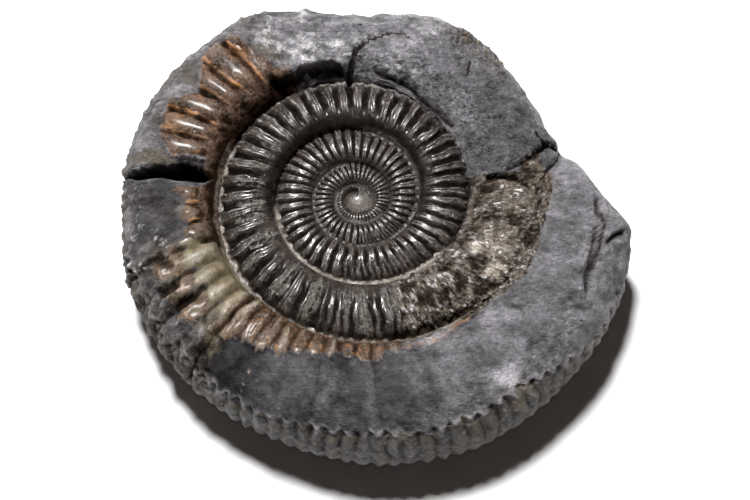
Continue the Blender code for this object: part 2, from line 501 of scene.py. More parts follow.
class Mark(Enum):
    """Where a finish, a tone or painted light and shade shows, kept on the mesh as a number from 0 to 1 at each point.
    """

    SHELL = "shell"
    CREST = "crest"
    RUST = "rust"
    GOLD = "gold"
    CALCITE = "calcite"
    CRYSTAL = "crystal"
    PALE = "pale"
    SCAB = "scab"
    # painted shade: darkens grooves, cracks, pits and other recesses and takes their sheen away
    HOLLOW = "hollow"
    DUST = "dust"
    # painted glints and sheen, and one real whitish patch
    GLEAM = "gleam"
    # the rock's own tone, and in places painted light and shade: lighter ridges and sheen, darker dips
    SHADE = "shade"
    GRAIN = "grain"


@dataclass
class Relief:
    """Height added to every point of the skin, with its marks."""

    skin: Skin
    coil: Coil
    lift: Array = field(default_factory=lambda: np.zeros(0))
    sink: Array = field(default_factory=lambda: np.zeros(0))
    marks: dict[Mark, Array] = field(default_factory=dict)

    def __post_init__(self) -> None:
        """Starts from bare rock everywhere and measures where each point lies between its seams."""
        count = len(self.skin.turn)
        self.lift = np.zeros(count)
        self.sink = np.zeros(count)
        self.marks = {mark: np.zeros(count) for mark in Mark}
        self.marks[Mark.SHADE] += 0.5
        self.marks[Mark.GRAIN] += 0.5
        skin, coil = self.skin, self.coil
        self.on_coil = skin.side == Side.COIL.value
        self.last_whorl = self.on_coil & (skin.turn + 1 > coil.last_turn)
        self.inner_whorl = self.on_coil & ~self.last_whorl
        inner = coil.seam_radius(skin.turn)
        following = np.minimum(skin.turn + 1, coil.last_turn)
        outer = np.where(self.last_whorl, coil.outline_radius(skin.turn), coil.seam_radius(following))
        self.width = outer - inner
        self.past_inner = skin.radius - inner
        self.to_outer = outer - skin.radius
        self.seam_in = coil.seam_height(skin.turn)
        self.seam_out = np.where(self.last_whorl, coil.mid_height, coil.seam_height(following))
        self.angle = np.where(self.inner_whorl, skin.degrees, skin.degrees - 360)
        self.angle = np.where(self.on_coil, self.angle, 15 + (skin.degrees - 15) % 360)
        self.onward = np.where(self.on_coil, skin.degrees - 360, self.angle)

    def paint(self, mark: Mark, amount: Array, value: float = 1.0) -> None:
        """Moves a mark towards a value by amount, from 0 to 1."""
        old = self.marks[mark]
        self.marks[mark] = old + (value - old) * np.clip(amount, 0, 1)

    def bare(self, amount: Array) -> None:
        """Takes every shell and mineral finish off by amount."""
        for mark in (Mark.SHELL, Mark.CREST, Mark.RUST, Mark.GOLD, Mark.CALCITE, Mark.CRYSTAL, Mark.SCAB):
            self.paint(mark, amount, 0.0)


@dataclass
class InnerWhorls:
    """The dark ribbed whorls inside the last one, whose ribs cross the whorl nearly straight."""

    rib_counts: Pairs = (
        (-1080, -128), (-711, -85), (-554, -68), (-440, -55), (-359.5, -45), (-283.5, -36),
        (-232, -30), (-191.5, -25), (-155.5, -21), (-126.5, -17), (-73, -11), (-39, -6), (-2, -1),
        (4.5, 0), (85, 10), (127, 15), (188, 22), (229, 27), (268.5, 32), (375, 45),
    )
    rib_share: float = 0.105
    most_rib: float = 1.10
    doubled: Pairs = ((-445, -395), (-100, -45), (258, 292))
    noise: StoneNoise = StoneNoise(11)

    def carve(self, relief: Relief) -> None:
        """Adds the ribs, their double crests and the rough patches on them."""
        skin = relief.skin
        here = relief.inner_whorl.astype(float)
        points = skin.base
        degrees, share = relief.angle, skin.share
        outermost = rise(-40, 20, degrees)
        front = np.clip(outermost * band(205, 300, 18, degrees) + band(-135, -45, 16, degrees), 0, 1)
        start = 0.10 + 0.12 * outermost + 0.05 * self.noise.soft(points, 2.5)
        across = rise(0.0, 1.0, (share - start) / 0.20) * (1 - 0.85 * rise(0.90, 0.985, share))
        across = across * (1 - 0.75 * front * rise(0.62, 0.92, share + 0.08 * self.noise.soft(points, 2.0)))
        back = outermost * band(48, 150, 14, degrees)
        across = across * (1 - 0.80 * back * rise(0.66, 0.90, share + 0.10 * self.noise.soft(points, 2.0)))
        xs, ys = zip(*self.rib_counts)
        wobble = 0.13 * self.noise.soft(points, 2.2) + 0.07 * self.noise.soft(points, 0.9)
        count = np.interp(degrees, xs, ys) + wobble
        one = self._rib(count % 1.0)
        two = self._rib(count * 2 % 1.0)
        doubled = sum(band(low, high, 4.0, degrees) for low, high in self.doubled)
        doubled = np.clip(doubled, 0, 1) * np.where(degrees > 200, 1.0, rise(0.4, 0.55, share))
        rib = one + (0.75 * two - one) * doubled
        each = np.stack([np.floor(count) * 1.7, share * 1.5, np.zeros_like(count)], axis=1)
        strength = 0.95 + 0.40 * self.noise.soft(each, 1.0)
        height = np.minimum(self.most_rib, self.rib_share * relief.width)
        pits = self.noise.rough(points, 0.8, 2)
        outward = rise(3.0, 8.0, skin.radius)
        relief.lift += here * (rib - 0.45) * across * height * strength
        relief.lift += here * outward * (0.07 * pits * (0.4 + rib) + 0.05 * self.noise.rough(points, 1.7, 2))
        relief.paint(Mark.SHELL, here)
        # Patches where rib crests turn lighter and glint: the lighter crests are partly wear and partly painted
        # highlight, the glints are painted.
        light_and_wear_patches = rise(-0.25, 0.35, self.noise.soft(points, 1.3) + 0.6 * pits)
        relief.paint(Mark.CREST, here * (0.25 + 0.75 * across) * rise(0.70, 1.0, rib) * light_and_wear_patches)
        # Painted highlight: crests lighter again across the back of the coil, where the light falls.
        relief.paint(Mark.CREST, here * back * rise(0.50, 0.90, rib) * across * light_and_wear_patches)
        # Painted glints on the rib edges, stronger at the back.
        relief.paint(Mark.GLEAM, here * (0.13 + 0.16 * back) * across * rise(0.78, 1.0, rib) * light_and_wear_patches)
        # Painted shade: dark grooves between the ribs, a dark inner slope beside the seam, and a dark outer slope at
        # the front.
        relief.paint(Mark.HOLLOW, here * 0.92 * (1 - rise(0.05, 0.55, rib)) * across)
        relief.paint(Mark.HOLLOW, here * 0.75 * (1 - across) * outward * (1 - 0.8 * front) * (share < 0.5))
        relief.paint(Mark.HOLLOW, front * here * 0.75 * rise(0.58, 0.90, share + 0.1 * pits))
        relief.paint(Mark.GRAIN, here, 0.2)
        middle = relief.on_coil * (1 - rise(2.0, 3.0, skin.radius))
        swirl = np.cos(np.arctan2(skin.y, skin.x) - 2.6 * skin.radius)
        relief.lift += middle * (0.30 * swirl - 0.45 * (1 - rise(0.3, 2.4, skin.radius)))
        relief.paint(Mark.SHELL, middle, 0.80)
        relief.paint(Mark.CREST, middle * rise(0.1, 0.9, swirl) * 0.9)
        # Painted shade in the groove of the central swirl.
        relief.paint(Mark.HOLLOW, middle * 0.85 * rise(0.0, 0.9, -swirl))
        relief.paint(Mark.DUST, middle * 0.32)
        grey = here * outermost * bump(88, 34, degrees) * rise(0.64, 0.84, share + 0.12 * pits)
        relief.lift += grey * 0.30 * (self.noise.creased(points, 1.5, 3) - 0.5)
        relief.paint(Mark.SHELL, grey, 0.25)
        relief.paint(Mark.CREST, grey * 0.8)
        tan = here * outermost * bump(81, 6.5, degrees) * rise(0.86, 0.94, share + 0.05 * pits)
        relief.paint(Mark.DUST, tan * 0.9)
        relief.paint(Mark.PALE, tan * 0.22)
        self._scabs(relief, here, count, share, degrees)

    def _rib(self, phase: Array) -> Array:
        """Returns a rib with two thin edges, from 0 in the groove to about 1 on the edges."""
        top = rise(0.10, 0.28, phase) * (1 - rise(0.70, 0.92, phase))
        edges = bump(0.31, 0.075, phase) + 0.85 * bump(0.67, 0.085, phase)
        return top * (0.62 + 0.38 * edges)

    def _scabs(self, relief: Relief, here: Array, count: Array, share: Array, degrees: Array) -> None:
        """Adds the rough patches left on some ribs of the outermost ribbed whorl."""
        points = relief.skin.base
        far, edge, name = self.noise.cells(points, 0.60)
        for place, middle, half, long in (
            (151, 0.40, 2.2, 0.16), (165, 0.42, 2.2, 0.17), (176, 0.42, 2.0, 0.18), (188, 0.40, 2.2, 0.17),
            (196, 0.42, 2.2, 0.20), (209, 0.40, 3.6, 0.26), (217, 0.60, 2.0, 0.16), (234, 0.44, 3.0, 0.26),
            (250, 0.46, 3.2, 0.24), (265, 0.40, 2.0, 0.24), (273, 0.52, 2.6, 0.28), (284, 0.40, 2.0, 0.20),
        ):
            off = np.hypot((degrees - place) / half, (share - middle) / long)
            off = off + 0.35 * self.noise.rough(points, 1.3, 2)
            patch = here * rise(13, 14, relief.skin.radius) * (1 - rise(0.75, 1.0, off))
            relief.lift += patch * (0.05 + 0.26 * rise(0.0, 0.3, edge) * (0.3 + name) - 0.12)
            relief.paint(Mark.SCAB, patch)
            # Painted shade in the cracks between the patch's grains.
            relief.paint(Mark.HOLLOW, patch, 0.45 * 1.0)
            relief.paint(Mark.HOLLOW, patch * rise(0.08, 0.25, edge), 0.0)


@dataclass
class Seams:
    """The lines where one whorl meets the next, with the pale mineral along some of them."""

    pale_stretches: tuple[tuple[float, float, float], ...] = (
        (-560, -395, 0.45), (-250, -20, 0.45), (-20, 80, 0.30), (192, 322, 0.85), (523, 668, 0.90),
    )
    noise: StoneNoise = StoneNoise(23)

    def carve(self, relief: Relief) -> None:
        """Fills the seams with a thin pale crumbly thread."""
        skin = relief.skin
        inside = relief.past_inner < relief.to_outer
        here = relief.on_coil & (inside | relief.inner_whorl)
        along = np.where(inside, skin.degrees, skin.degrees + 360)
        low = np.where(inside, relief.seam_in, relief.seam_out)
        off = np.where(inside, relief.past_inner, relief.to_outer)
        lumps = self.noise.rough(skin.base, 1.1, 3)
        wander = 0.16 * self.noise.soft(skin.base, 2.1)
        size = rise(3.0, 26.0, skin.radius)
        for first, last, strength in self.pale_stretches:
            reach = here * band(first, last, 10, along)
            fill = low + (0.30 + 1.30 * size) * (0.50 + 0.50 * strength) + 0.34 * lumps * size
            wide = 0.30 + 0.50 * size * strength
            near = reach * (1 - rise(0.75 * wide, 1.15 * wide, off + wander))
            rest = skin.z + relief.lift - relief.sink
            relief.sink -= near * np.clip(fill - rest, 0, 3.0)
            pale = near * (0.75 + 0.25 * rise(-0.45, 0.10, fill - rest))
            relief.paint(Mark.HOLLOW, pale, 0.0)
            speck = rise(-0.35, 0.35, self.noise.rough(skin.base, 0.7, 2))
            relief.paint(Mark.PALE, pale * strength * (0.22 + 0.34 * speck + 0.20 * lumps))
            # Painted shade between the thread's crumbs.
            relief.paint(Mark.HOLLOW, pale * 0.35 * (1 - speck))
            relief.paint(Mark.SHELL, pale * 0.5, 0.0)
            relief.paint(Mark.DUST, pale * 0.45 * band(190, 330, 10, along))
            # Painted shade in a dark line just outside the pale thread.
            dark = reach * rise(0.0, 0.25, off + wander - wide) * (1 - rise(0.4, 1.3, off + wander - wide))
            relief.paint(Mark.HOLLOW, dark * 0.55 * size)
        tan = here * band(648, 672, 6, along) * (off < 1.2)
        relief.paint(Mark.DUST, tan * 0.7)


@dataclass
class BackRock:
    """The bare mudstone that fills the last whorl at the back, with its plate and undercut."""

    start: Pairs = ((18, 9), (22, 7.5), (24.5, 5.2), (27, 4.2), (29.5, 1.5), (32, 3.0), (36, 9.0))
    plate_inner: Pairs = (
        (74, 21.2), (80, 21.5), (88, 21.6), (94.5, 22.4), (97.4, 23.7), (103, 24.4), (115, 24.7), (123, 24.9),
        (127, 26.0),
    )
    plate_end: Pairs = ((22, 122), (26, 126.7), (28, 128.2), (31, 126.6), (34.5, 124.5), (37, 123), (42, 121))
    top_band: Pairs = ((60, 36.4), (71, 34.8), (82, 33.5), (95, 33.2), (109, 33.7), (115, 35.6), (119, 38.3))
    noise: StoneNoise = StoneNoise(37)

    def __post_init__(self) -> None:
        """Prepares the plate's edges."""
        self._start, self._inner, self._end = Curve(self.start), Curve(self.plate_inner), Curve(self.plate_end)
        self._band = Curve(self.top_band)

    def carve(self, relief: Relief) -> None:
        """Adds the rock's grain and undulation, and undercuts its edge beside the ribbed whorl."""
        skin = relief.skin
        points, angle, radius = skin.base, relief.onward, skin.radius
        ragged = 0.45 * self.noise.rough(points, 1.6, 3)
        here = relief.on_coil * rise(-1.0, 1.0, angle - self._start(radius) + 2.5 * ragged)
        here = here * (1 - rise(-0.5, 0.5, angle - self._end(radius) + 2 * ragged))
        relief.lift *= 1 - here
        relief.bare(here)
        relief.paint(Mark.HOLLOW, here, 0.0)
        slope = here * (1 - rise(66, 92, angle))
        crest = skin.z.max() * 0 + relief.coil.mid_height + relief.coil.half_thickness(skin.turn)
        foot = relief.seam_in + 0.9
        reach = np.clip(relief.past_inner / (0.42 * relief.width), 0, 1)
        target = foot + (crest - foot) * (0.55 * np.sin(reach * math.pi / 2) + 0.45 * rise(0, 1, reach))
        relief.sink += slope * (reach < 1) * np.clip(skin.z - target, -1, 6) * rise(0.0, 0.35, relief.past_inner)
        broad = self.noise.rough(points, 9.0, 3)
        chips = self.noise.creased(points + 30.0, 6.0, 4)
        relief.lift += here * (0.38 * broad + 0.20 * self.noise.rough(points, 2.4, 4) + 0.75 * (chips - 0.5))
        creases = self.noise.creased(points * np.array([0.5, 1.6, 1.0]), 3.2, 3)
        relief.lift += here * 0.95 * (creases - 0.5) * rise(66, 84, angle) * rise(25, 29, radius)
        relief.paint(Mark.GRAIN, here, 0.95)
        relief.paint(Mark.SHADE, here, 0.50)
        # Painted shade and light: darker where the rock dips, lighter on the ridges of the chips.
        relief.paint(Mark.SHADE, here * 0.7 * rise(-0.1, 0.4, -broad), 0.34)
        relief.paint(Mark.SHADE, here * 0.7 * rise(0.50, 0.75, chips), 0.72)
        # Painted shade in the hollows between chips.
        relief.paint(Mark.HOLLOW, here * 0.40 * (1 - rise(0.05, 0.25, chips)))
        self._undercut(relief, here, ragged, angle)
        self._edge_band(relief, here, angle)
        self._crumbs(relief, here, angle)
        # A painted sheen: a light streak with glints along the rock at this radius.
        sheen_streak = band(94, 114, 5, angle) * bump(0, 1.0, radius - 27.0 + 1.5 * ragged)
        relief.paint(Mark.SHADE, here * sheen_streak * rise(-0.3, 0.4, self.noise.rough(points, 1.5, 3)), 0.95)
        relief.paint(Mark.GLEAM, here * sheen_streak * rise(-0.1, 0.4, self.noise.rough(points, 1.5, 3)) * 0.7)
        # Painted sheen over the rock at the back: lighter on the creases, with painted glints and darker crease
        # hollows.
        sunny = here * band(68, 124, 12, angle) * band(25, 35, 2.5, radius)
        speckled = rise(0.30, 0.75, self.noise.creased(points * np.array([0.6, 1.4, 1.0]), 1.3, 3))
        relief.paint(Mark.SHADE, sunny * (0.55 + 0.45 * creases), 0.74 + 0.26 * speckled * rise(0.2, 0.6, creases))
        relief.paint(Mark.SHADE, sunny * rise(0.35, 0.60, creases) * speckled, 1.0)
        bright = rise(95, 104, angle) * (1 - rise(120, 128, angle)) + 0.45 * band(66, 96, 8, angle)
        relief.paint(Mark.GLEAM, sunny * bright * (0.16 + 0.84 * rise(0.38, 0.62, creases)) * (0.35 + 0.65 * speckled) * 0.72)
        relief.paint(Mark.GRAIN, sunny, 0.70)
        relief.paint(Mark.HOLLOW, sunny * 0.35 * (1 - rise(0.10, 0.35, creases)))
        right = here * band(30, 66, 10, angle)
        # Painted glints on the creases.
        relief.paint(Mark.GLEAM, right * 0.26 * rise(0.45, 0.70, creases) * speckled)
        relief.paint(Mark.SHADE, here * band(12, 36, 8, angle) * band(27, 34, 3, radius), 0.36)
        relief.paint(Mark.SHADE, here * (1 - rise(12, 20, angle)), 0.34)

    def _undercut(self, relief: Relief, here: Array, ragged: Array, angle: Array) -> None:
        """Sinks the gap between the rock's broken inner edge and the ribbed whorl, and paints it dark as shade."""
        radius = relief.skin.radius
        wide = band(92.0, 126, 3.5, angle) * relief.last_whorl
        gap = wide * (1 - rise(-0.35, 0.25, radius - self._inner(angle) + ragged))
        crumble = self.noise.rough(relief.skin.base, 1.5, 3)
        relief.sink += (3.0 + 1.4 * crumble) * gap
        relief.bare(gap * 0.8)
        # Painted shadow in the gap.
        relief.paint(Mark.HOLLOW, gap * (0.95 + 0.4 * crumble))
        lip = wide * bump(0.55, 0.6, radius - self._inner(angle) + ragged)
        relief.lift += 0.4 * lip * here
        narrow = band(40, 80, 6, angle) * relief.last_whorl
        line = relief.past_inner - 0.9 - 0.6 * rise(50, 70, angle) + 1.0 * ragged
        slit = narrow * np.exp(-((line / 0.42) ** 2))
        relief.sink += 1.5 * slit
        # Painted shadow in the slit and below its line.
        relief.paint(Mark.HOLLOW, slit * 1.2)
        relief.paint(Mark.HOLLOW, narrow * 0.45 * (line < 0))

    def _edge_band(self, relief: Relief, here: Array, angle: Array) -> None:
        """Bends the back edge down past a thin ledge, a little darker than the flank."""
        past = relief.skin.radius - self._band(angle) + 0.35 * self.noise.soft(relief.skin.base, 2.5)
        zone = here * band(62, 119, 5, angle)
        relief.sink += 0.45 * zone * rise(0.0, 0.6, past)
        relief.paint(Mark.SHADE, zone * rise(-0.1, 0.5, past) * 0.7, 0.40)
        relief.paint(Mark.DUST, zone * rise(0.3, 1.5, past) * 0.30)
        # Painted shade in a line along the ledge.
        relief.paint(Mark.HOLLOW, zone * 0.45 * bump(0.25, 0.25, past) * rise(-0.2, 0.3, self.noise.soft(relief.skin.base, 3)))

    def _crumbs(self, relief: Relief, here: Array, angle: Array) -> None:
        """Adds the crumbly beige stretches along the right part of the back edge."""
        points, radius = relief.skin.base, relief.skin.radius
        far, edge, name = self.noise.cells(points, 0.9)
        rough = self.noise.rough(points, 2.4, 3)
        beige = band(45, 61, 4, angle) * band(32.9, 37.5, 0.9, radius + 2.0 * rough)
        specks = band(17, 46, 4, angle) * band(33.3, 36.0, 0.7, radius + 1.6 * rough) * rise(-0.15, 0.35, rough)
        crumbs = here * np.clip(beige + specks, 0, 1)
        relief.lift += crumbs * (0.45 * rise(0.0, 0.35, edge) * (0.2 + name) + 0.5 * rough - 0.25)
        relief.paint(Mark.DUST, crumbs * (0.10 + 0.85 * rise(0.35, 0.9, name)))
        relief.paint(Mark.PALE, crumbs * 0.35 * rise(0.80, 0.95, name) * beige)
        # Painted shade between the crumbs.
        relief.paint(Mark.HOLLOW, crumbs * 0.75 * (1 - rise(0.0, 0.18, edge)))


@dataclass
class BrownShell:
    """Iron-brown shell on the left of the last whorl: strong ribs, each with a thin golden edge."""

    rib_counts: Pairs = (
        (113, -1), (122, 0), (131, 1), (140, 2), (148, 3), (157, 4), (164.3, 5), (172.3, 6), (181, 7),
        (188.5, 8), (195.6, 9), (203.2, 10), (211, 11), (217.5, 12), (224, 13), (230, 14), (312, 30.5),
    )
    outer_edge: Pairs = (
        (112, 25.0), (121, 25.6), (126, 30.5), (128, 36.2), (133, 36.6), (139, 36.1), (143.4, 34.3),
        (149, 32.9), (153, 35.2), (157, 36.5), (163, 36.2), (166, 35.4), (170.4, 33.2), (173, 31.6),
        (179, 30.4), (183, 31.4), (188, 29.8), (192.5, 31.6), (195.6, 30.2), (199, 31.6), (203, 29.0),
    )
    rib_height: float = 0.95
    noise: StoneNoise = StoneNoise(41)

    def __post_init__(self) -> None:
        """Prepares the shell's broken outer edge."""
        self._edge = Curve(self.outer_edge)

    def rib_phase(self, relief: Relief) -> tuple[Array, Array]:
        """Returns the rib count at each point and the rib's shape there."""
        xs, ys = zip(*self.rib_counts)
        points = relief.skin.base
        wobble = 0.07 * self.noise.soft(points, 2.5) + 0.05 * self.noise.soft(points, 1.0)
        count = np.interp(relief.angle, xs, ys) + wobble
        return count, count % 1.0

    def carve(self, relief: Relief) -> None:
        """Adds the ribs, the golden edges, the step at the broken border and the brown lumps."""
        skin = relief.skin
        points, angle, radius = skin.base, relief.angle, skin.radius
        ragged = 0.9 * self.noise.rough(points, 2.2, 4)
        zone = relief.last_whorl * band(119, 203, 3, angle + 2 * ragged)
        past = radius - self._edge(angle) + ragged
        shell = zone * (1 - rise(-0.2, 0.3, past))
        count, phase = self.rib_phase(relief)
        inward = rise(1.6, 4.6, relief.past_inner + 0.8 * ragged)
        fresh = inward * rise(-0.6, 1.6, -past)
        body = np.sin(np.pi * np.clip((phase - 0.10) / 0.74, 0, 1)) ** 0.8
        edge = bump(0.905, 0.05, phase)
        groove = bump(0.03, 0.08, phase) + bump(1.03, 0.08, phase)
        lively = rise(-0.35, 0.45, self.noise.soft(np.stack([count, radius * 0.45, 0 * radius], 1), 1.0))
        crust = self.noise.creased(points, 1.7, 4)
        grit = self.noise.rough(points, 1.0, 2)
        rib = self.rib_height * body + 0.60 * edge * (0.35 + 0.65 * lively) - 0.8 * groove
        relief.lift += shell * (0.35 + (0.35 * inward + 0.65 * fresh) * rib)
        smooth = band(0.28, 0.72, 0.12, phase) * rise(3.5, 6.5, relief.past_inner) * fresh
        relief.lift += shell * (1 - 0.85 * smooth) * (0.42 * (crust - 0.45) + 0.10 * grit)
        outside = zone * (1 - shell)
        above = 1 - rise(174, 178, angle)
        torn = outside * (1 - rise(0.6, 2.6, past)) * (0.3 + 0.7 * above)
        relief.lift += outside * 0.20 * grit + torn * (0.45 * (crust - 0.3) + 0.35 * body)
        relief.bare(np.maximum(shell, outside * above))
        relief.paint(Mark.RUST, shell * (0.75 + 0.5 * smooth))
        relief.paint(Mark.RUST, torn * 0.45 * rise(0.35, 0.6, crust))
        golden = edge * (0.40 + 0.60 * lively) * rise(-0.6, 0.2, grit + 0.3)
        relief.paint(Mark.GOLD, shell * inward * golden)
        relief.paint(Mark.GOLD, shell * (1 - smooth) * 0.45 * rise(0.60, 0.8, crust) * rise(2.5, 6, relief.past_inner))
        relief.paint(Mark.GOLD, shell * fresh * 0.30 * rise(0.1, 0.6, self.noise.rough(points, 3.5, 3)))
        relief.paint(Mark.PALE, shell * fresh * 0.16 * smooth * lively)
        # Painted shade in the grooves, in the hollows of the crust and down by the inner seam.
        relief.paint(Mark.HOLLOW, shell * inward * np.clip(groove, 0, 1) * 0.9)
        relief.paint(Mark.HOLLOW, shell * (1 - smooth) * 0.8 * (1 - rise(0.15, 0.45, crust)))
        relief.paint(Mark.HOLLOW, zone * 0.9 * (1 - rise(0.6, 3.6, relief.past_inner + 1.2 * ragged)))
        relief.paint(Mark.GRAIN, shell, 0.15)
        outside = outside * above
        relief.lift += outside * (0.40 * (crust - 0.5) + 0.15 * grit)
        relief.paint(Mark.GRAIN, outside, 0.75)
        relief.paint(Mark.SHADE, outside, 0.36)
        # Painted shade in the hollows of the torn shell.
        relief.paint(Mark.HOLLOW, torn * 0.65 * (1 - rise(0.15, 0.5, crust)))
        mottled = self.noise.rough(points, 2.5, 3)
        relief.paint(Mark.DUST, outside * (0.25 + 0.45 * rise(-0.1, 0.4, mottled)))
        relief.paint(Mark.SHADE, outside * rise(0.0, 0.5, -mottled), 0.70)
        # Painted light on the ridges of the crust.
        relief.paint(Mark.SHADE, outside * 0.8 * rise(0.55, 0.8, crust), 0.85)
        # Painted shade where the grit dips.
        relief.paint(Mark.HOLLOW, outside * 0.35 * (1 - rise(-0.5, 0.0, grit)))


@dataclass
class OpenCrack:
    """The open crack on the left: a steep wall painted black as shade, a narrow floor and a smooth lower lip."""

    upper: Pairs = ((-43, 2.7), (-40.0, 2.75), (-36.6, 3.0), (-32.2, 3.0), (-30.2, 3.4), (-27.6, 2.9), (-25.6, 1.5))
    lower: Pairs = ((-43, 1.9), (-40.5, 1.9), (-37.7, 0.9), (-34.4, 1.0), (-30.0, 0.4), (-27.0, 0.6), (-25.6, 1.1))
    lip: Pairs = ((-43, 1.6), (-40.5, 1.5), (-38.0, 0.1), (-34.4, 0.1), (-31.6, -0.9), (-29.2, -1.2), (-27.0, -0.5), (-25.6, 0.9))
    depth: float = 6.0
    noise: StoneNoise = StoneNoise(43)

    def carve(self, relief: Relief) -> None:
        """Sinks the crack and smooths its lip."""
        skin = relief.skin
        x, y = skin.x, skin.y
        upper, lower, lip = Curve(self.upper)(x), Curve(self.lower)(x), Curve(self.lip)(x)
        here = relief.last_whorl * rise(-25.2, -26.8, x)
        width = np.maximum(upper - lower, 0.3)
        wall = here * rise(0.30, -0.15, y - upper) * rise(-0.25, 0.30, y - lower)
        relief.sink += wall * self.depth * np.clip(width / 1.6, 0.45, 1.0)
        across = (y - lip) / np.maximum(lower - lip, 0.3)
        slope = here * rise(-0.15, 0.15, across) * (y < lower + 0.3)
        relief.sink += slope * 1.1 * rise(0, 1, across) * (1 - wall)
        relief.lift *= 1 - np.clip(wall + slope, 0, 1)
        relief.bare(np.clip(wall + slope, 0, 1))
        relief.paint(Mark.DUST, np.clip(wall + slope, 0, 1), 0.0)
        relief.paint(Mark.HOLLOW, slope, 0.10)
        # Painted shadow on the crack's wall.
        relief.paint(Mark.HOLLOW, wall * 1.4, 1.0)
        relief.paint(Mark.SHADE, slope, 0.30)
        relief.paint(Mark.GRAIN, slope, 0.1)
        chip_x, chip_y = x + 29.0, y - 3.9
        chip = relief.last_whorl * np.exp(-((chip_x / 2.4) ** 4) - (chip_y / 0.9) ** 4)
        relief.lift += chip * (0.35 * self.noise.creased(skin.base, 1.4, 3) - 0.15)
        relief.bare(chip)
        relief.paint(Mark.SHADE, chip, 0.45)


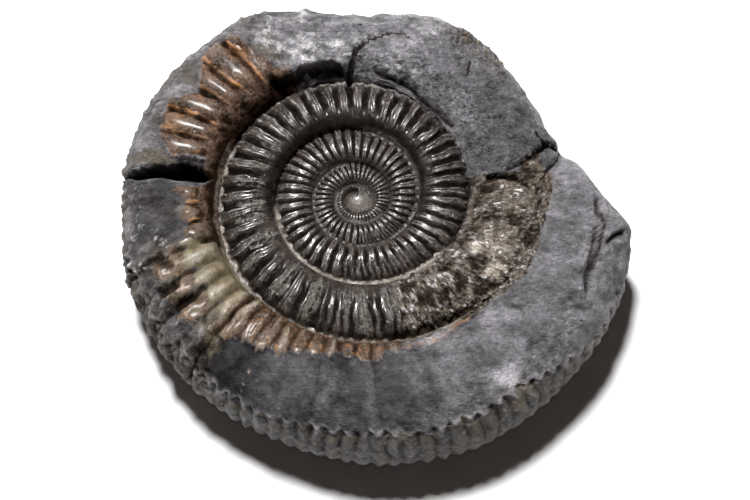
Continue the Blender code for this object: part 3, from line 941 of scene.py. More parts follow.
@dataclass
class LeftFlank:
    """The last whorl on the left and front left: smooth hollows, calcite ribs and torn outer ribs."""

    pits: tuple[tuple[float, float, float, float], ...] = ((212.3, 37.8, 2.0, 0.8), (217.6, 36.6, 2.4, 0.8))
    noise: StoneNoise = StoneNoise(53)

    def carve(self, relief: Relief, brown: BrownShell) -> None:
        """Adds the smooth rock, then the calcite and outer ribs across it."""
        skin = relief.skin
        points, angle, radius = skin.base, relief.angle, skin.radius
        ragged = 0.5 * self.noise.rough(points, 2.0, 3)
        crust = self.noise.creased(points, 1.7, 4)
        grit = self.noise.rough(points, 0.9, 2)
        smooth = relief.last_whorl * band(173, 203, 2, angle + ragged)
        relief.bare(smooth)
        relief.lift += smooth * (0.35 * self.noise.rough(points, 6.0, 2) + 0.07 * grit)
        mottled = self.noise.rough(points, 3.0, 4)
        relief.paint(Mark.SHADE, smooth, 0.22)
        light = rise(-0.10, 0.35, mottled) * (0.35 + 0.65 * rise(36.0, 39.5, radius))
        relief.paint(Mark.SHADE, smooth * light, 0.60)
        relief.paint(Mark.DUST, smooth * (0.22 + 0.25 * rise(0.0, 0.5, mottled)))
        relief.paint(Mark.GRAIN, smooth, 0.12 + 0.3 * rise(0.0, 0.4, mottled))
        relief.lift += smooth * 0.30 * (crust - 0.5) * rise(35.0, 39.0, radius)
        # Painted glints on the crust ridges.
        relief.paint(Mark.GLEAM, smooth * 0.28 * rise(0.60, 0.80, crust) * rise(34.5, 38.0, radius))
        sheet = band(181, 196, 3.0, angle + 2 * ragged) * band(31.8, 39.2, 1.0, radius + 1.5 * ragged)
        relief.lift -= 0.55 * smooth * sheet
        relief.paint(Mark.SHADE, smooth * sheet, 0.16)
        relief.paint(Mark.DUST, smooth * sheet * 0.7, 0.12)
        relief.paint(Mark.GRAIN, smooth * sheet, 0.05)
        bits = smooth * band(196, 203, 2, angle) * rise(33, 36, radius)
        relief.lift += bits * 0.5 * crust
        # Painted light and glints on the crust ridges.
        relief.paint(Mark.SHADE, bits * rise(0.5, 0.8, crust), 0.6)
        relief.paint(Mark.GLEAM, bits * 0.40 * rise(0.62, 0.80, crust))
        zone = relief.last_whorl * band(202, 233, 2.5, angle + ragged)
        count, phase = brown.rib_phase(relief)
        body = np.sin(np.pi * np.clip((phase - 0.05) / 0.9, 0, 1)) ** 0.8
        lobes = zone * band(26.8, 32.6, 1.4, radius + 1.6 * ragged) * rise(0.9, 2.2, relief.past_inner)
        flaky = rise(0.0, 0.5, self.noise.rough(points, 2.6, 3) + 0.3 * rise(216, 222, angle))
        relief.bare(zone)
        strands = self.noise.rough(np.stack([count * 4.0, radius * 0.45, 0 * radius], 1), 1.0, 3)
        relief.lift += lobes * (0.90 * body - 0.20 + 0.35 * flaky * (crust - 0.5) + 0.12 * strands)
        glassy = zone * (1 - rise(30.5, 32.5, radius + 1.6 * ragged))
        relief.paint(Mark.CALCITE, np.clip(glassy * 0.9, 0, 1))
        relief.paint(Mark.DUST, glassy * 0.35)
        relief.paint(Mark.CALCITE, lobes * (0.30 + 0.8 * body))
        relief.paint(Mark.PALE, lobes * 0.30 * body * flaky)
        relief.paint(Mark.RUST, lobes * rise(220, 228, angle + 4 * ragged))
        relief.paint(Mark.PALE, lobes * rise(218, 226, angle) * body * 0.30 * rise(-0.3, 0.3, strands))
        relief.paint(Mark.DUST, lobes * 0.45 * rise(0.0, 0.4, -strands))
        # Painted shade between the calcite ribs.
        relief.paint(Mark.HOLLOW, lobes * 0.66 * (1 - rise(0.0, 0.7, body)))
        relief.paint(Mark.GRAIN, lobes, 0.05)
        outer = zone * rise(31.6, 33.4, radius + 2.0 * ragged)
        relief.lift += outer * (0.74 * body - 0.34 + 0.95 * (crust - 0.4) + 0.18 * grit)
        relief.paint(Mark.SHADE, outer, 0.25)
        relief.paint(Mark.DUST, outer * (0.22 + 0.35 * rise(0.0, 0.5, mottled)))
        relief.paint(Mark.GRAIN, outer, 0.45)
        # Painted light and glints on the crust ridges of the outer ribs, painted shade between them and in the crust's
        # hollows.
        relief.paint(Mark.SHADE, outer * rise(0.55, 0.8, crust) * body, 0.60)
        relief.paint(Mark.GLEAM, outer * 0.32 * rise(0.62, 0.82, crust) * body)
        relief.paint(Mark.HOLLOW, outer * 0.78 * (1 - rise(0.0, 0.45, body)) * rise(-0.6, 0.1, grit))
        relief.paint(Mark.HOLLOW, outer * 0.6 * (1 - rise(0.15, 0.45, crust)))
        torn = zone * band(33.0, 37.8, 0.9, radius + 1.8 * self.noise.soft(points, 1.8))
        torn = torn * band(203, 224, 3, angle)
        relief.paint(Mark.RUST, torn * 0.9 * body)
        patchy = outer * band(203, 229, 3, angle) * (1 - rise(37.0, 39.5, radius))
        relief.paint(Mark.RUST, patchy * 0.8 * rise(-0.2, 0.3, self.noise.rough(points, 2.4, 3)))
        relief.paint(Mark.DUST, patchy * 0.45)
        # Painted shade in dark patches over the outer ribs.
        relief.paint(Mark.HOLLOW, patchy * 0.8 * rise(0.15, 0.45, self.noise.rough(points + 12.0, 2.0, 3)))
        relief.paint(Mark.GOLD, torn * 0.65 * rise(0.55, 0.85, crust) * rise(0.3, 0.8, body))
        relief.paint(Mark.DUST, outer * 0.25 * rise(0.3, 0.8, crust))
        # Painted shade down by the inner seam.
        relief.paint(Mark.HOLLOW, zone * 0.50 * (1 - rise(0.3, 1.6, relief.past_inner + ragged)))
        for place, r, long, wide in self.pits:
            off = np.radians(angle - place) * radius
            pit = relief.last_whorl * np.exp(-((off / wide) ** 4) - (((radius - r) / long) ** 4))
            relief.sink += 1.7 * pit
            # Painted shade in the pits.
            relief.paint(Mark.HOLLOW, rise(0.15, 0.7, pit))


@dataclass
class Frill:
    """The thin remnant of ribbed shell that fringes the seam along the front."""

    outer_edge: Pairs = (
        (224, 36.6), (229, 37.0), (234.2, 35.9), (237.6, 34.9), (240.7, 35.3), (243.8, 34.2), (247.4, 34.5),
        (251.8, 33.2), (256.8, 32.4), (260.4, 32.6), (264, 32.0), (269.3, 32.3), (274.3, 33.3),
        (279.8, 31.8), (285, 31.9), (290.5, 32.1), (295.8, 32.6), (301.4, 31.9), (306.5, 31.9), (313, 30.8),
    )
    noise: StoneNoise = StoneNoise(59)

    def __post_init__(self) -> None:
        """Prepares the scalloped outer edge."""
        self._edge = Curve(self.outer_edge)

    def carve(self, relief: Relief, brown: BrownShell) -> None:
        """Adds the fringe with its pale ribs and the smooth dark rock outside it."""
        skin = relief.skin
        points, angle, radius = skin.base, relief.angle, skin.radius
        ragged = 0.45 * self.noise.rough(points, 1.5, 3)
        zone = relief.last_whorl * band(229, 311, 3, angle)
        count, phase = brown.rib_phase(relief)
        each = np.stack([np.floor(count) * 1.3, radius * 0.25, 0 * radius], 1)
        own = 0.75 + 0.45 * self.noise.soft(each, 1.0)
        ribbed = 1 - 0.9 * rise(278, 292, angle)
        scallop = 0.55 * np.cos(math.tau * (phase - 0.5)) * ribbed * own
        inside = self._edge(angle) - radius + scallop + ragged
        fringe = zone * rise(-0.1, 0.22, inside)
        body = np.clip(np.sin(np.pi * np.clip((phase - 0.08) / 0.84, 0, 1)) ** 0.9 * own, 0, 1)
        crust = self.noise.creased(points, 1.4, 3)
        flakes = self.noise.rough(points, 1.0, 3)
        strands = self.noise.rough(np.stack([count * 3.5, radius * 0.40, 0 * radius], 1), 1.0, 4)
        body = np.clip(body * (0.75 + 0.7 * strands) + 0.12, 0, 1)
        inward = rise(0.5, 1.6, relief.past_inner)
        relief.bare(zone)
        relief.lift += fringe * (0.45 + ribbed * 0.75 * (body - 0.35) * inward + 0.45 * (crust - 0.5) + 0.16 * flakes)
        rock = zone * (1 - fringe)
        waves = self.noise.soft(np.stack([count * 0.75, radius * 0.05, 0 * radius], 1), 1.0)
        relief.lift += rock * (0.16 * self.noise.rough(points, 5.0, 3) + 0.05 * flakes)
        relief.lift += rock * band(33, 43, 2, radius) * 0.34 * waves
        relief.paint(Mark.RUST, fringe * (0.85 * ribbed + 0.1))
        relief.paint(Mark.GOLD, fringe * ribbed * 0.5 * rise(0.55, 0.8, crust))
        relief.paint(Mark.PALE, fringe * ribbed * (0.30 * rise(0.55, 0.95, body) + 0.10 * crust) * inward)
        relief.paint(Mark.DUST, fringe * ribbed * (0.15 + 0.35 * rise(-0.1, 0.35, strands)))
        # Painted shade between the fringe's ribs.
        relief.paint(Mark.HOLLOW, fringe * ribbed * 0.85 * (1 - rise(0.05, 0.5, body)) * inward)
        band_line = fringe * (1 - ribbed)
        relief.paint(Mark.SHADE, band_line, 0.62)
        relief.paint(Mark.GOLD, band_line * 0.65 * bump(0.35, 0.35, inside) * rise(-0.4, 0.3, flakes + 0.25))
        relief.paint(Mark.PALE, band_line * 0.22 * bump(0.9, 0.6, inside))
        # Painted shade along the outside of the fringe's edge.
        relief.paint(Mark.HOLLOW, zone * (1 - fringe) * 0.7 * bump(0.0, 0.55, inside))
        streaks = self.noise.rough(np.stack([count * 1.4, radius * 0.12, 0 * radius], 1), 1.0, 3)
        relief.lift += rock * 0.06 * streaks
        tone = 0.15 + 0.12 * waves + 0.10 * streaks
        relief.paint(Mark.SHADE, rock, tone)
        relief.paint(Mark.SHADE, rock * rise(266, 304, angle), 0.38 + 0.12 * streaks + 0.06 * waves)
        relief.paint(Mark.GRAIN, rock, 0.12 + 0.10 * waves + 0.30 * rise(268, 300, angle))
        for place, wide in ((243.0, 1.6), (251.0, 1.2), (259.8, 1.3), (275.9, 1.5), (289.0, 1.4)):
            stripe = rock * bump(place, wide, angle + 2.0 * ragged) * band(33, 43, 2, radius)
            relief.paint(Mark.SHADE, 0.55 * stripe, 0.10)
            relief.lift -= 0.22 * stripe
        for place in (259.8, 275.2):
            line = rock * bump(place, 0.45, angle + 1.5 * ragged) * band(34, 42, 2, radius)
            relief.lift -= 0.12 * line
            # Painted shade in the two crack lines.
            relief.paint(Mark.HOLLOW, 0.5 * line)
        dots = rock * bump(0, 0.28, radius * np.radians(angle - 242.6)) * band(38, 43.5, 0.5, radius)
        relief.paint(Mark.PALE, dots * rise(0.0, 0.3, self.noise.soft(points, 0.6)) * 0.5)


@dataclass
class RightFlank:
    """The smooth rock towards the mouth, with flake scars at its corner."""

    scars: tuple[Pairs, ...] = (
        ((356.9, 42.7), (354.5, 41.8), (348.0, 42.1), (343.7, 42.5), (338.0, 42.9), (335.5, 43.3), (333.0, 44.5), (331.6, 45.7)),
        ((352.8, 42.0), (349.3, 43.6), (346.2, 43.6), (343.2, 43.7), (338.4, 43.7), (336.4, 43.3)),
        ((344.3, 44.6), (346.6, 45.8), (348.1, 47.1), (348.8, 48.1)),
    )
    noise: StoneNoise = StoneNoise(61)

    def carve(self, relief: Relief) -> None:
        """Adds fine undulation, the chip at the corner and the curved scars round it."""
        skin = relief.skin
        points, angle, radius = skin.base, relief.angle, skin.radius
        zone = relief.last_whorl * rise(300, 316, angle)
        relief.lift += zone * (0.16 * self.noise.rough(points, 7.0, 3) + 0.03 * self.noise.rough(points, 0.8, 2))
        cloudy = self.noise.rough(points, 8.0, 3)
        relief.paint(Mark.SHADE, zone, 0.46 + 0.12 * cloudy)
        relief.paint(Mark.GRAIN, zone, 0.42)
        chip = zone * band(333, 349, 1.5, angle) * rise(43.4, 44.2, radius + 0.3 * self.noise.soft(points, 2.0))
        relief.lift -= 0.35 * chip
        relief.paint(Mark.SHADE, chip, 0.44)
        relief.paint(Mark.GRAIN, chip, 0.3)
        for number, scar in enumerate(self.scars):
            off, along = path_distance(skin.x, skin.y, scar)
            taper = rise(0.0, 0.1, along) * rise(1.0, 0.85, along)
            line = zone * np.exp(-((off / 0.52) ** 2)) * taper
            relief.lift -= (1.1 if number == 0 else 0.8) * line
            relief.lift += 0.30 * zone * bump(1.2, 0.5, off) * taper
            # Painted shade in the scars, and painted light on their raised edges.
            relief.paint(Mark.HOLLOW, line)
            relief.paint(Mark.SHADE, 0.5 * zone * bump(1.3, 0.5, off) * taper, 0.75)
        pale = relief.last_whorl * bump(305.3, 3.2, angle) * bump(43.8, 1.9, radius)
        pale = np.clip(1.4 * pale * (1 + 0.8 * self.noise.rough(points, 2.0, 3)), 0, 1)
        relief.paint(Mark.SHADE, pale, 0.95)
        relief.paint(Mark.GLEAM, pale * 0.30)
        step = zone * rise(354.5, 357, angle) * rise(34, 36, radius)
        relief.paint(Mark.SHADE, step, 0.6)


@dataclass
class Crystals:
    """The granular crust of small crystals between the ribbed whorls and the mouth."""

    outer_edge: Pairs = (
        (280, 26.0), (296, 28.8), (306, 29.9), (311.5, 30.4), (317, 31.5), (325, 33.0), (330, 33.6),
        (335, 33.5), (341, 33.1), (347, 32.9), (353, 33.5), (360, 33.5), (368, 33.4), (373, 33.0),
    )
    noise: StoneNoise = StoneNoise(67)

    def __post_init__(self) -> None:
        """Prepares the crust's outer edge."""
        self._edge = Curve(self.outer_edge)

    def carve(self, relief: Relief) -> None:
        """Adds the crystals, coarser at the front and finer towards the mouth."""
        skin = relief.skin
        points, radius = skin.base, skin.radius
        place = np.where(relief.last_whorl & (relief.angle < 90), 999.0, relief.angle)
        ragged = 0.8 * self.noise.rough(points, 1.8, 4)
        end = 365.5 + 6 * rise(28.5, 31.0, radius) + 4 * (1 - rise(20.5, 23.0, radius))
        sweep = rise(286, 289, place + 5 * ragged) * (1 - rise(-1.0, 1.0, place - end + 2 * ragged))
        last_strip = relief.inner_whorl & (skin.turn > 0.6) | relief.last_whorl
        crust = relief.on_coil * last_strip * sweep * (1 - rise(-0.2, 0.3, radius - self._edge(place) + ragged))
        crust = crust * rise(0.15, 0.8, relief.past_inner + 0.5 * ragged + 5.0 * relief.last_whorl)
        coarse = 1 - 0.55 * rise(318, 345, place)
        folds = self.noise.creased(points, 3.0, 4)
        far, edge, name = self.noise.cells(points, 1.5)
        far_small, edge_small, name_small = self.noise.cells(points + 9, 0.65)
        lumps = 0.70 * rise(0.0, 0.5, edge) * (0.2 + name) * coarse
        grains = 0.26 * rise(0.0, 0.35, edge_small) * (0.2 + name_small)
        relief.bare(crust)
        relief.lift *= 1 - crust
        hills = self.noise.rough(points, 4.5, 2)
        relief.lift += crust * (lumps + grains + 1.0 * (folds - 0.5) * (0.4 + 0.6 * coarse) + 0.5 * hills - 0.45)
        relief.paint(Mark.CRYSTAL, crust)
        relief.paint(Mark.HOLLOW, crust, 0.0)
        # Painted shade in the fold hollows and between grains.
        relief.paint(Mark.HOLLOW, crust * 0.90 * (1 - rise(0.18, 0.40, folds)))
        relief.paint(Mark.HOLLOW, crust * 0.60 * coarse * (1 - rise(0.0, 0.16, edge)))
        relief.paint(Mark.HOLLOW, crust * 0.75 * (1 - rise(0.0, 0.25, edge_small)))
        # Painted light: lighter grains on the fold ridges.
        relief.paint(Mark.CREST, crust * rise(0.55, 0.9, name_small) * rise(0.4, 0.7, folds))
        # Painted glints on some grains.
        sparkle = crust * (1 - rise(330, 348, place)) * rise(0.62, 0.92, name_small) * rise(0.05, 0.3, edge_small)
        relief.paint(Mark.GLEAM, 0.64 * sparkle)
        for where, r, reach, strength in (
            (331.5, 24.0, 1.7, 0.9), (327.6, 28.4, 2.6, 0.9), (329.5, 30.6, 1.6, 0.5), (335.0, 27.0, 3.4, 0.45),
            (341.0, 25.0, 3.0, 0.25),
        ):
            off = np.hypot(np.radians(place - where) * radius, radius - r) + 1.1 * ragged
            spot = crust * (1 - rise(reach * 0.35, reach, off))
            relief.paint(Mark.PALE, spot * strength * (0.15 + 0.85 * name_small))
            relief.paint(Mark.HOLLOW, spot * 0.7, 0.0)
        brown = bump(325, 9, place) * bump(22.5, 3.0, radius)
        relief.paint(Mark.RUST, crust * 0.55 * brown)
        grey = crust * rise(338, 362, place) * 0.55
        relief.paint(Mark.CRYSTAL, grey * rise(-0.2, 0.4, hills + ragged), 0.3)
        olive = relief.last_whorl * band(352, 372, 3, place) * bump(33.6, 0.35, radius + 0.5 * ragged)
        relief.paint(Mark.DUST, olive * 0.9)
        relief.paint(Mark.GOLD, olive * 0.35)
        relief.paint(Mark.DUST, crust * 0.6 * band(362, 374, 3, place) * rise(0.3, 0.8, name_small))
        # Painted shadow in the sunken gap at the front edge of the crust.
        lee = relief.inner_whorl * band(284, 312, 4, place) * (skin.turn > 0.6)
        gap = lee * rise(2.2, 0.9, relief.to_outer + 1.2 * ragged)
        relief.sink += 0.9 * gap
        relief.paint(Mark.HOLLOW, 0.85 * gap)


@dataclass
class RimRibs:
    """Close ribs over the outer edge, with rough knobs along their upper ends."""

    pitch_degrees: float = 3.35
    top_edge: Pairs = (
        (165, 40.2), (195, 41.3), (214, 42.2), (232, 43.2), (250, 44.0), (262, 44.3), (270, 44.9),
        (283, 45.9), (292, 46.2), (300, 46.4), (307, 46.2), (312, 47.0), (318, 48.4), (326, 49.3), (352, 49.7),
    )
    height: float = 0.70
    noise: StoneNoise = StoneNoise(71)

    def __post_init__(self) -> None:
        """Prepares the line where the ribs' upper ends begin."""
        self._top = Curve(self.top_edge)

    def carve(self, relief: Relief) -> None:
        """Adds the ribs on the rim and its underside."""
        skin = relief.skin
        points, angle = skin.base, relief.angle
        outward = relief.last_whorl | ~relief.on_coil
        zone = outward * band(178, 349, 14, angle)
        phase = angle / self.pitch_degrees + 0.22 * self.noise.soft(points, 3.0)
        knob = 0.5 + 0.5 * np.cos(math.tau * phase)
        crust = self.noise.creased(points, 2.0, 4)
        grit = self.noise.rough(points, 1.2, 3)
        edge_off = skin.radius - self._top(angle) - 0.55 * (knob - 0.5) + 0.80 * self.noise.rough(points, 3.4, 4)
        on_rim = np.where(relief.on_coil, rise(-0.2, 0.25, edge_off), 1.0)
        fade_under = np.where(relief.on_coil, 1.0, rise(-1.0, 4.0, skin.z))
        rim = zone * on_rim * fade_under
        each = np.stack([np.floor(phase + 0.5) * 1.3, skin.z * 0.2, angle * 0], axis=1)
        strength = (0.80 + 0.7 * self.noise.soft(each, 1.0)) * (1 - 0.5 * rise(300, 318, angle))
        relief.lift += rim * ((knob**0.8 - 0.55) * self.height * strength + 0.42 * (crust - 0.5) + 0.16 * grit - 0.2)
        lip = zone * bump(-0.05, 0.30, edge_off) * relief.on_coil * rise(-0.3, 0.3, self.noise.soft(points, 2.5) + 0.3)
        relief.lift += 0.32 * lip
        relief.bare(rim)
        relief.paint(Mark.SHADE, rim, 0.150)
        relief.paint(Mark.GRAIN, rim, 0.55)
        # Painted light on the knobs' crusty tops.
        relief.paint(Mark.SHADE, rim * rise(0.5, 0.8, crust) * knob, 0.50)
        crumbs = lip * rise(-0.2, 0.4, grit)
        relief.paint(Mark.SHADE, lip, 0.70 + 0.25 * rise(285, 300, angle))
        relief.paint(Mark.DUST, lip * 0.35)
        relief.paint(Mark.PALE, crumbs * 0.30 * rise(240, 300, angle))
        mottled = self.noise.rough(points, 2.2, 3)
        relief.paint(Mark.DUST, rim * (0.25 + 0.50 * rise(-0.1, 0.4, mottled)))
        relief.paint(Mark.PALE, rim * 0.22 * rise(0.62, 0.85, crust))
        # Painted glints on the knobs.
        relief.paint(Mark.GLEAM, rim * 0.34 * rise(0.60, 0.82, crust) * knob * (0.4 + 0.6 * rise(288, 304, angle)))
        relief.paint(Mark.DUST, rim * 0.5 * band(298, 330, 6, angle) * rise(0.4, 0.7, crust))
        # Painted shade between the knobs and in thin lines along the ribs' upper edge.
        relief.paint(Mark.HOLLOW, rim * 0.62 * (1 - rise(0.0, 0.50, knob * 0.7 + crust * 0.4)))
        relief.paint(Mark.HOLLOW, rim * 0.25 * bump(0.5, 0.3, edge_off) * relief.on_coil * rise(-0.4, 0.3, grit))
        relief.paint(Mark.HOLLOW, zone * 0.5 * bump(-0.75, 0.22, edge_off) * relief.on_coil * rise(-0.1, 0.4, grit))
        rough = outward * (1 - zone) * rise(0.75, 0.92, skin.share)
        relief.lift += rough * 0.22 * self.noise.rough(points, 2.2, 4)


@dataclass
class Cracks:
    """Narrow cracks through the rock."""

    paths: tuple[tuple[Pairs, float, float], ...] = (
        (((94.0, 21.5), (92.1, 23.6), (90.5, 25.8), (86.9, 27.5), (82.9, 28.7), (78.8, 29.8), (75.5, 30.3), (71.9, 30.0)), 0.42, 1.9),
        (((13.8, 36.5), (14.3, 34.6), (12.0, 32.7), (9.8, 30.3), (7.8, 28.3), (6.3, 26.3)), 0.42, 2.2),
        (((4.6, 23.5), (4.7, 25.0), (3.7, 26.8), (2.8, 28.3), (0.2, 29.9)), 0.60, 2.4),
        (((14.3, 34.4), (18.3, 33.4)), 0.24, 0.6),
        (((29.2, 26.6), (27.9, 27.5), (26.9, 28.4)), 0.24, 0.6),
        (((49.8, 31.2), (46.7, 28.7)), 0.22, 0.5),
        (((307.0, 30.9), (312.0, 30.9), (315.5, 31.6)), 0.24, 0.6),
    )
    noise: StoneNoise = StoneNoise(73)

    def carve(self, relief: Relief) -> None:
        """Sinks each crack, tapered towards its far end."""
        skin = relief.skin
        wander = 0.15 * self.noise.rough(skin.base, 1.4, 2)
        for path, half_width, depth in self.paths:
            off, along = path_distance(skin.x, skin.y, path)
            wide = half_width * (1.2 - 0.6 * along) + wander
            line = relief.on_coil * rise(1.30, 0.70, off / np.maximum(wide, 0.24)) * (1 - 0.35 * along)
            relief.sink += depth * line * (1.0 - 0.5 * along)
            # Painted shade in the crack.
            relief.paint(Mark.HOLLOW, np.minimum(line * 1.8, 1.0))
            relief.paint(Mark.PALE, line, 0.0)


@dataclass
class Underside:
    """The hidden reverse: shale split flat inside the lower rim."""

    noise: StoneNoise = StoneNoise(79)

    def carve(self, relief: Relief) -> None:
        """Adds shallow split layers that never reach below the face it rests on."""
        skin = relief.skin
        low = ~relief.on_coil
        flat = low * rise(0.6, 0.0, skin.z)
        layers = self.noise.rough(skin.base, 12.0, 3)
        steps = np.floor(layers * 5) / 5 + 0.2 * rise(0.0, 0.4, layers * 5 % 1.0)
        raised = np.clip(0.35 * (steps + 0.3), 0, 0.5) + 0.05 * (1 + self.noise.rough(skin.base, 1.2, 3))
        relief.sink -= flat * np.clip(raised - 0.12, 0, 1)
        relief.paint(Mark.SHADE, low * 1.0, 0.42)
        relief.paint(Mark.SHADE, flat * rise(0.1, 0.4, layers), 0.5)
        relief.paint(Mark.DUST, flat * 0.4 * rise(0.1, 0.5, self.noise.rough(skin.base, 7.0, 3)))


# ---------------------------------------------------------------------------------------------------
# Finishes
# ---------------------------------------------------------------------------------------------------

Colour = tuple[float, float, float]


class Socket:
    """A node's output that can be used in sums, so that an expression adds its own nodes."""

    def __init__(self, graph: "Graph", link: bpy.types.NodeSocket) -> None:
        """Keeps the graph the output belongs to.

        Args:
            graph: where new nodes go.
            link: the output itself.
        """
        self.graph = graph
        self.link = link

    def _sum(self, operation: str, first: "Value", second: "Value") -> "Socket":
        """Adds a Math node for one step of an expression."""
        return self.graph.add("ShaderNodeMath", {"operation": operation}, {0: first, 1: second})

    def __add__(self, other: "Value") -> "Socket":
        """Returns the sum."""
        return self._sum("ADD", self, other)

    def __radd__(self, other: "Value") -> "Socket":
        """Returns the sum, with a number first."""
        return self._sum("ADD", other, self)

    def __sub__(self, other: "Value") -> "Socket":
        """Returns the difference."""
        return self._sum("SUBTRACT", self, other)

    def __rsub__(self, other: "Value") -> "Socket":
        """Returns the difference, with a number first."""
        return self._sum("SUBTRACT", other, self)

    def __mul__(self, other: "Value") -> "Socket":
        """Returns the product."""
        return self._sum("MULTIPLY", self, other)

    def __rmul__(self, other: "Value") -> "Socket":
        """Returns the product, with a number first."""
        return self._sum("MULTIPLY", other, self)

    def beside(self, name: str) -> "Socket":
        """Returns another output of the same node."""
        return Socket(self.graph, self.link.node.outputs[name])

    def spread(self, low: float, high: float) -> "Socket":
        """Returns 0 where this is at low, 1 where it is at high, and smooth between them."""
        settings = {"interpolation_type": "SMOOTHSTEP"}
        return self.graph.add("ShaderNodeMapRange", settings, {"Value": self, "From Min": low, "From Max": high})


Value = Union[float, Colour, Socket]


class Graph:
    """The nodes of one material."""

    def __init__(self, name: str) -> None:
        """Makes an empty material of that name."""
        self.material = bpy.data.materials.new(name)
        self.material.use_nodes = True
        self.tree = self.material.node_tree
        self.tree.nodes.clear()

    def add(self, kind: str, settings: dict[str, object], inputs: dict[object, "Value"], output: object = 0) -> Socket:
        """Adds a node.

        Args:
            kind: the node's type.
            settings: its properties, set before its sockets.
            inputs: a value or a link for each named or numbered socket.
            output: the name or number of the output to return.

        Returns:
            The chosen output.
        """
        node = self.tree.nodes.new(kind)
        for name, setting in settings.items():
            setattr(node, name, setting)
        for name, value in inputs.items():
            if isinstance(value, Socket):
                self.tree.links.new(value.link, node.inputs[name])
            elif isinstance(value, tuple):
                node.inputs[name].default_value = value if node.inputs[name].type == "VECTOR" else (*value, 1.0)
            else:
                node.inputs[name].default_value = value
        return Socket(self, node.outputs[output] if len(node.outputs) else None)

    def add_output(self, surface: Socket) -> None:
        """Connects the finished surface to the material's output."""
        self.add("ShaderNodeOutputMaterial", {}, {"Surface": surface})

    def mark(self, mark: Mark) -> Socket:
        """Returns a mark kept on the mesh."""
        return self.add("ShaderNodeAttribute", {"attribute_name": mark.value}, {}, "Fac")

    def blend(self, first: "Value", second: "Value", share: "Value") -> Socket:
        """Returns a colour between two."""
        return self.add("ShaderNodeMix", {"data_type": "RGBA"}, {0: share, 6: first, 7: second}, 2)

    def darken(self, colour: "Value", by: "Value", share: "Value" = 1.0) -> Socket:
        """Returns a colour multiplied by another."""
        settings = {"data_type": "RGBA", "blend_type": "MULTIPLY"}
        return self.add("ShaderNodeMix", settings, {0: share, 6: colour, 7: by}, 2)

    def between(self, first: "Value", second: "Value", share: Socket) -> Socket:
        """Returns a value between two."""
        return self.add("ShaderNodeMix", {"data_type": "FLOAT"}, {0: share, 2: first, 3: second}, 0)


@dataclass(frozen=True)
class Finish:
    """One kind of surface: the colours it wanders between, its sheen and its fine grain."""

    dark: Colour
    light: Colour
    gloss: tuple[float, float]
    patch: float
    grain: float
    depth: float
    coat: float = 0.0
    mark: Optional[Mark] = None
    ragged: float = 0.8
    spread: tuple[float, float] = (0.35, 0.65)
    patchy: float = 0.65
    facets: tuple[float, float] = (0.0, 0.0)
    faces: float = 0.0


@dataclass(frozen=True)
class Tint:
    """A colour laid over the finishes where a mark says so."""

    mark: Mark
    colour: Colour
    roughness: float
    share: float
    ragged: float = 0.8


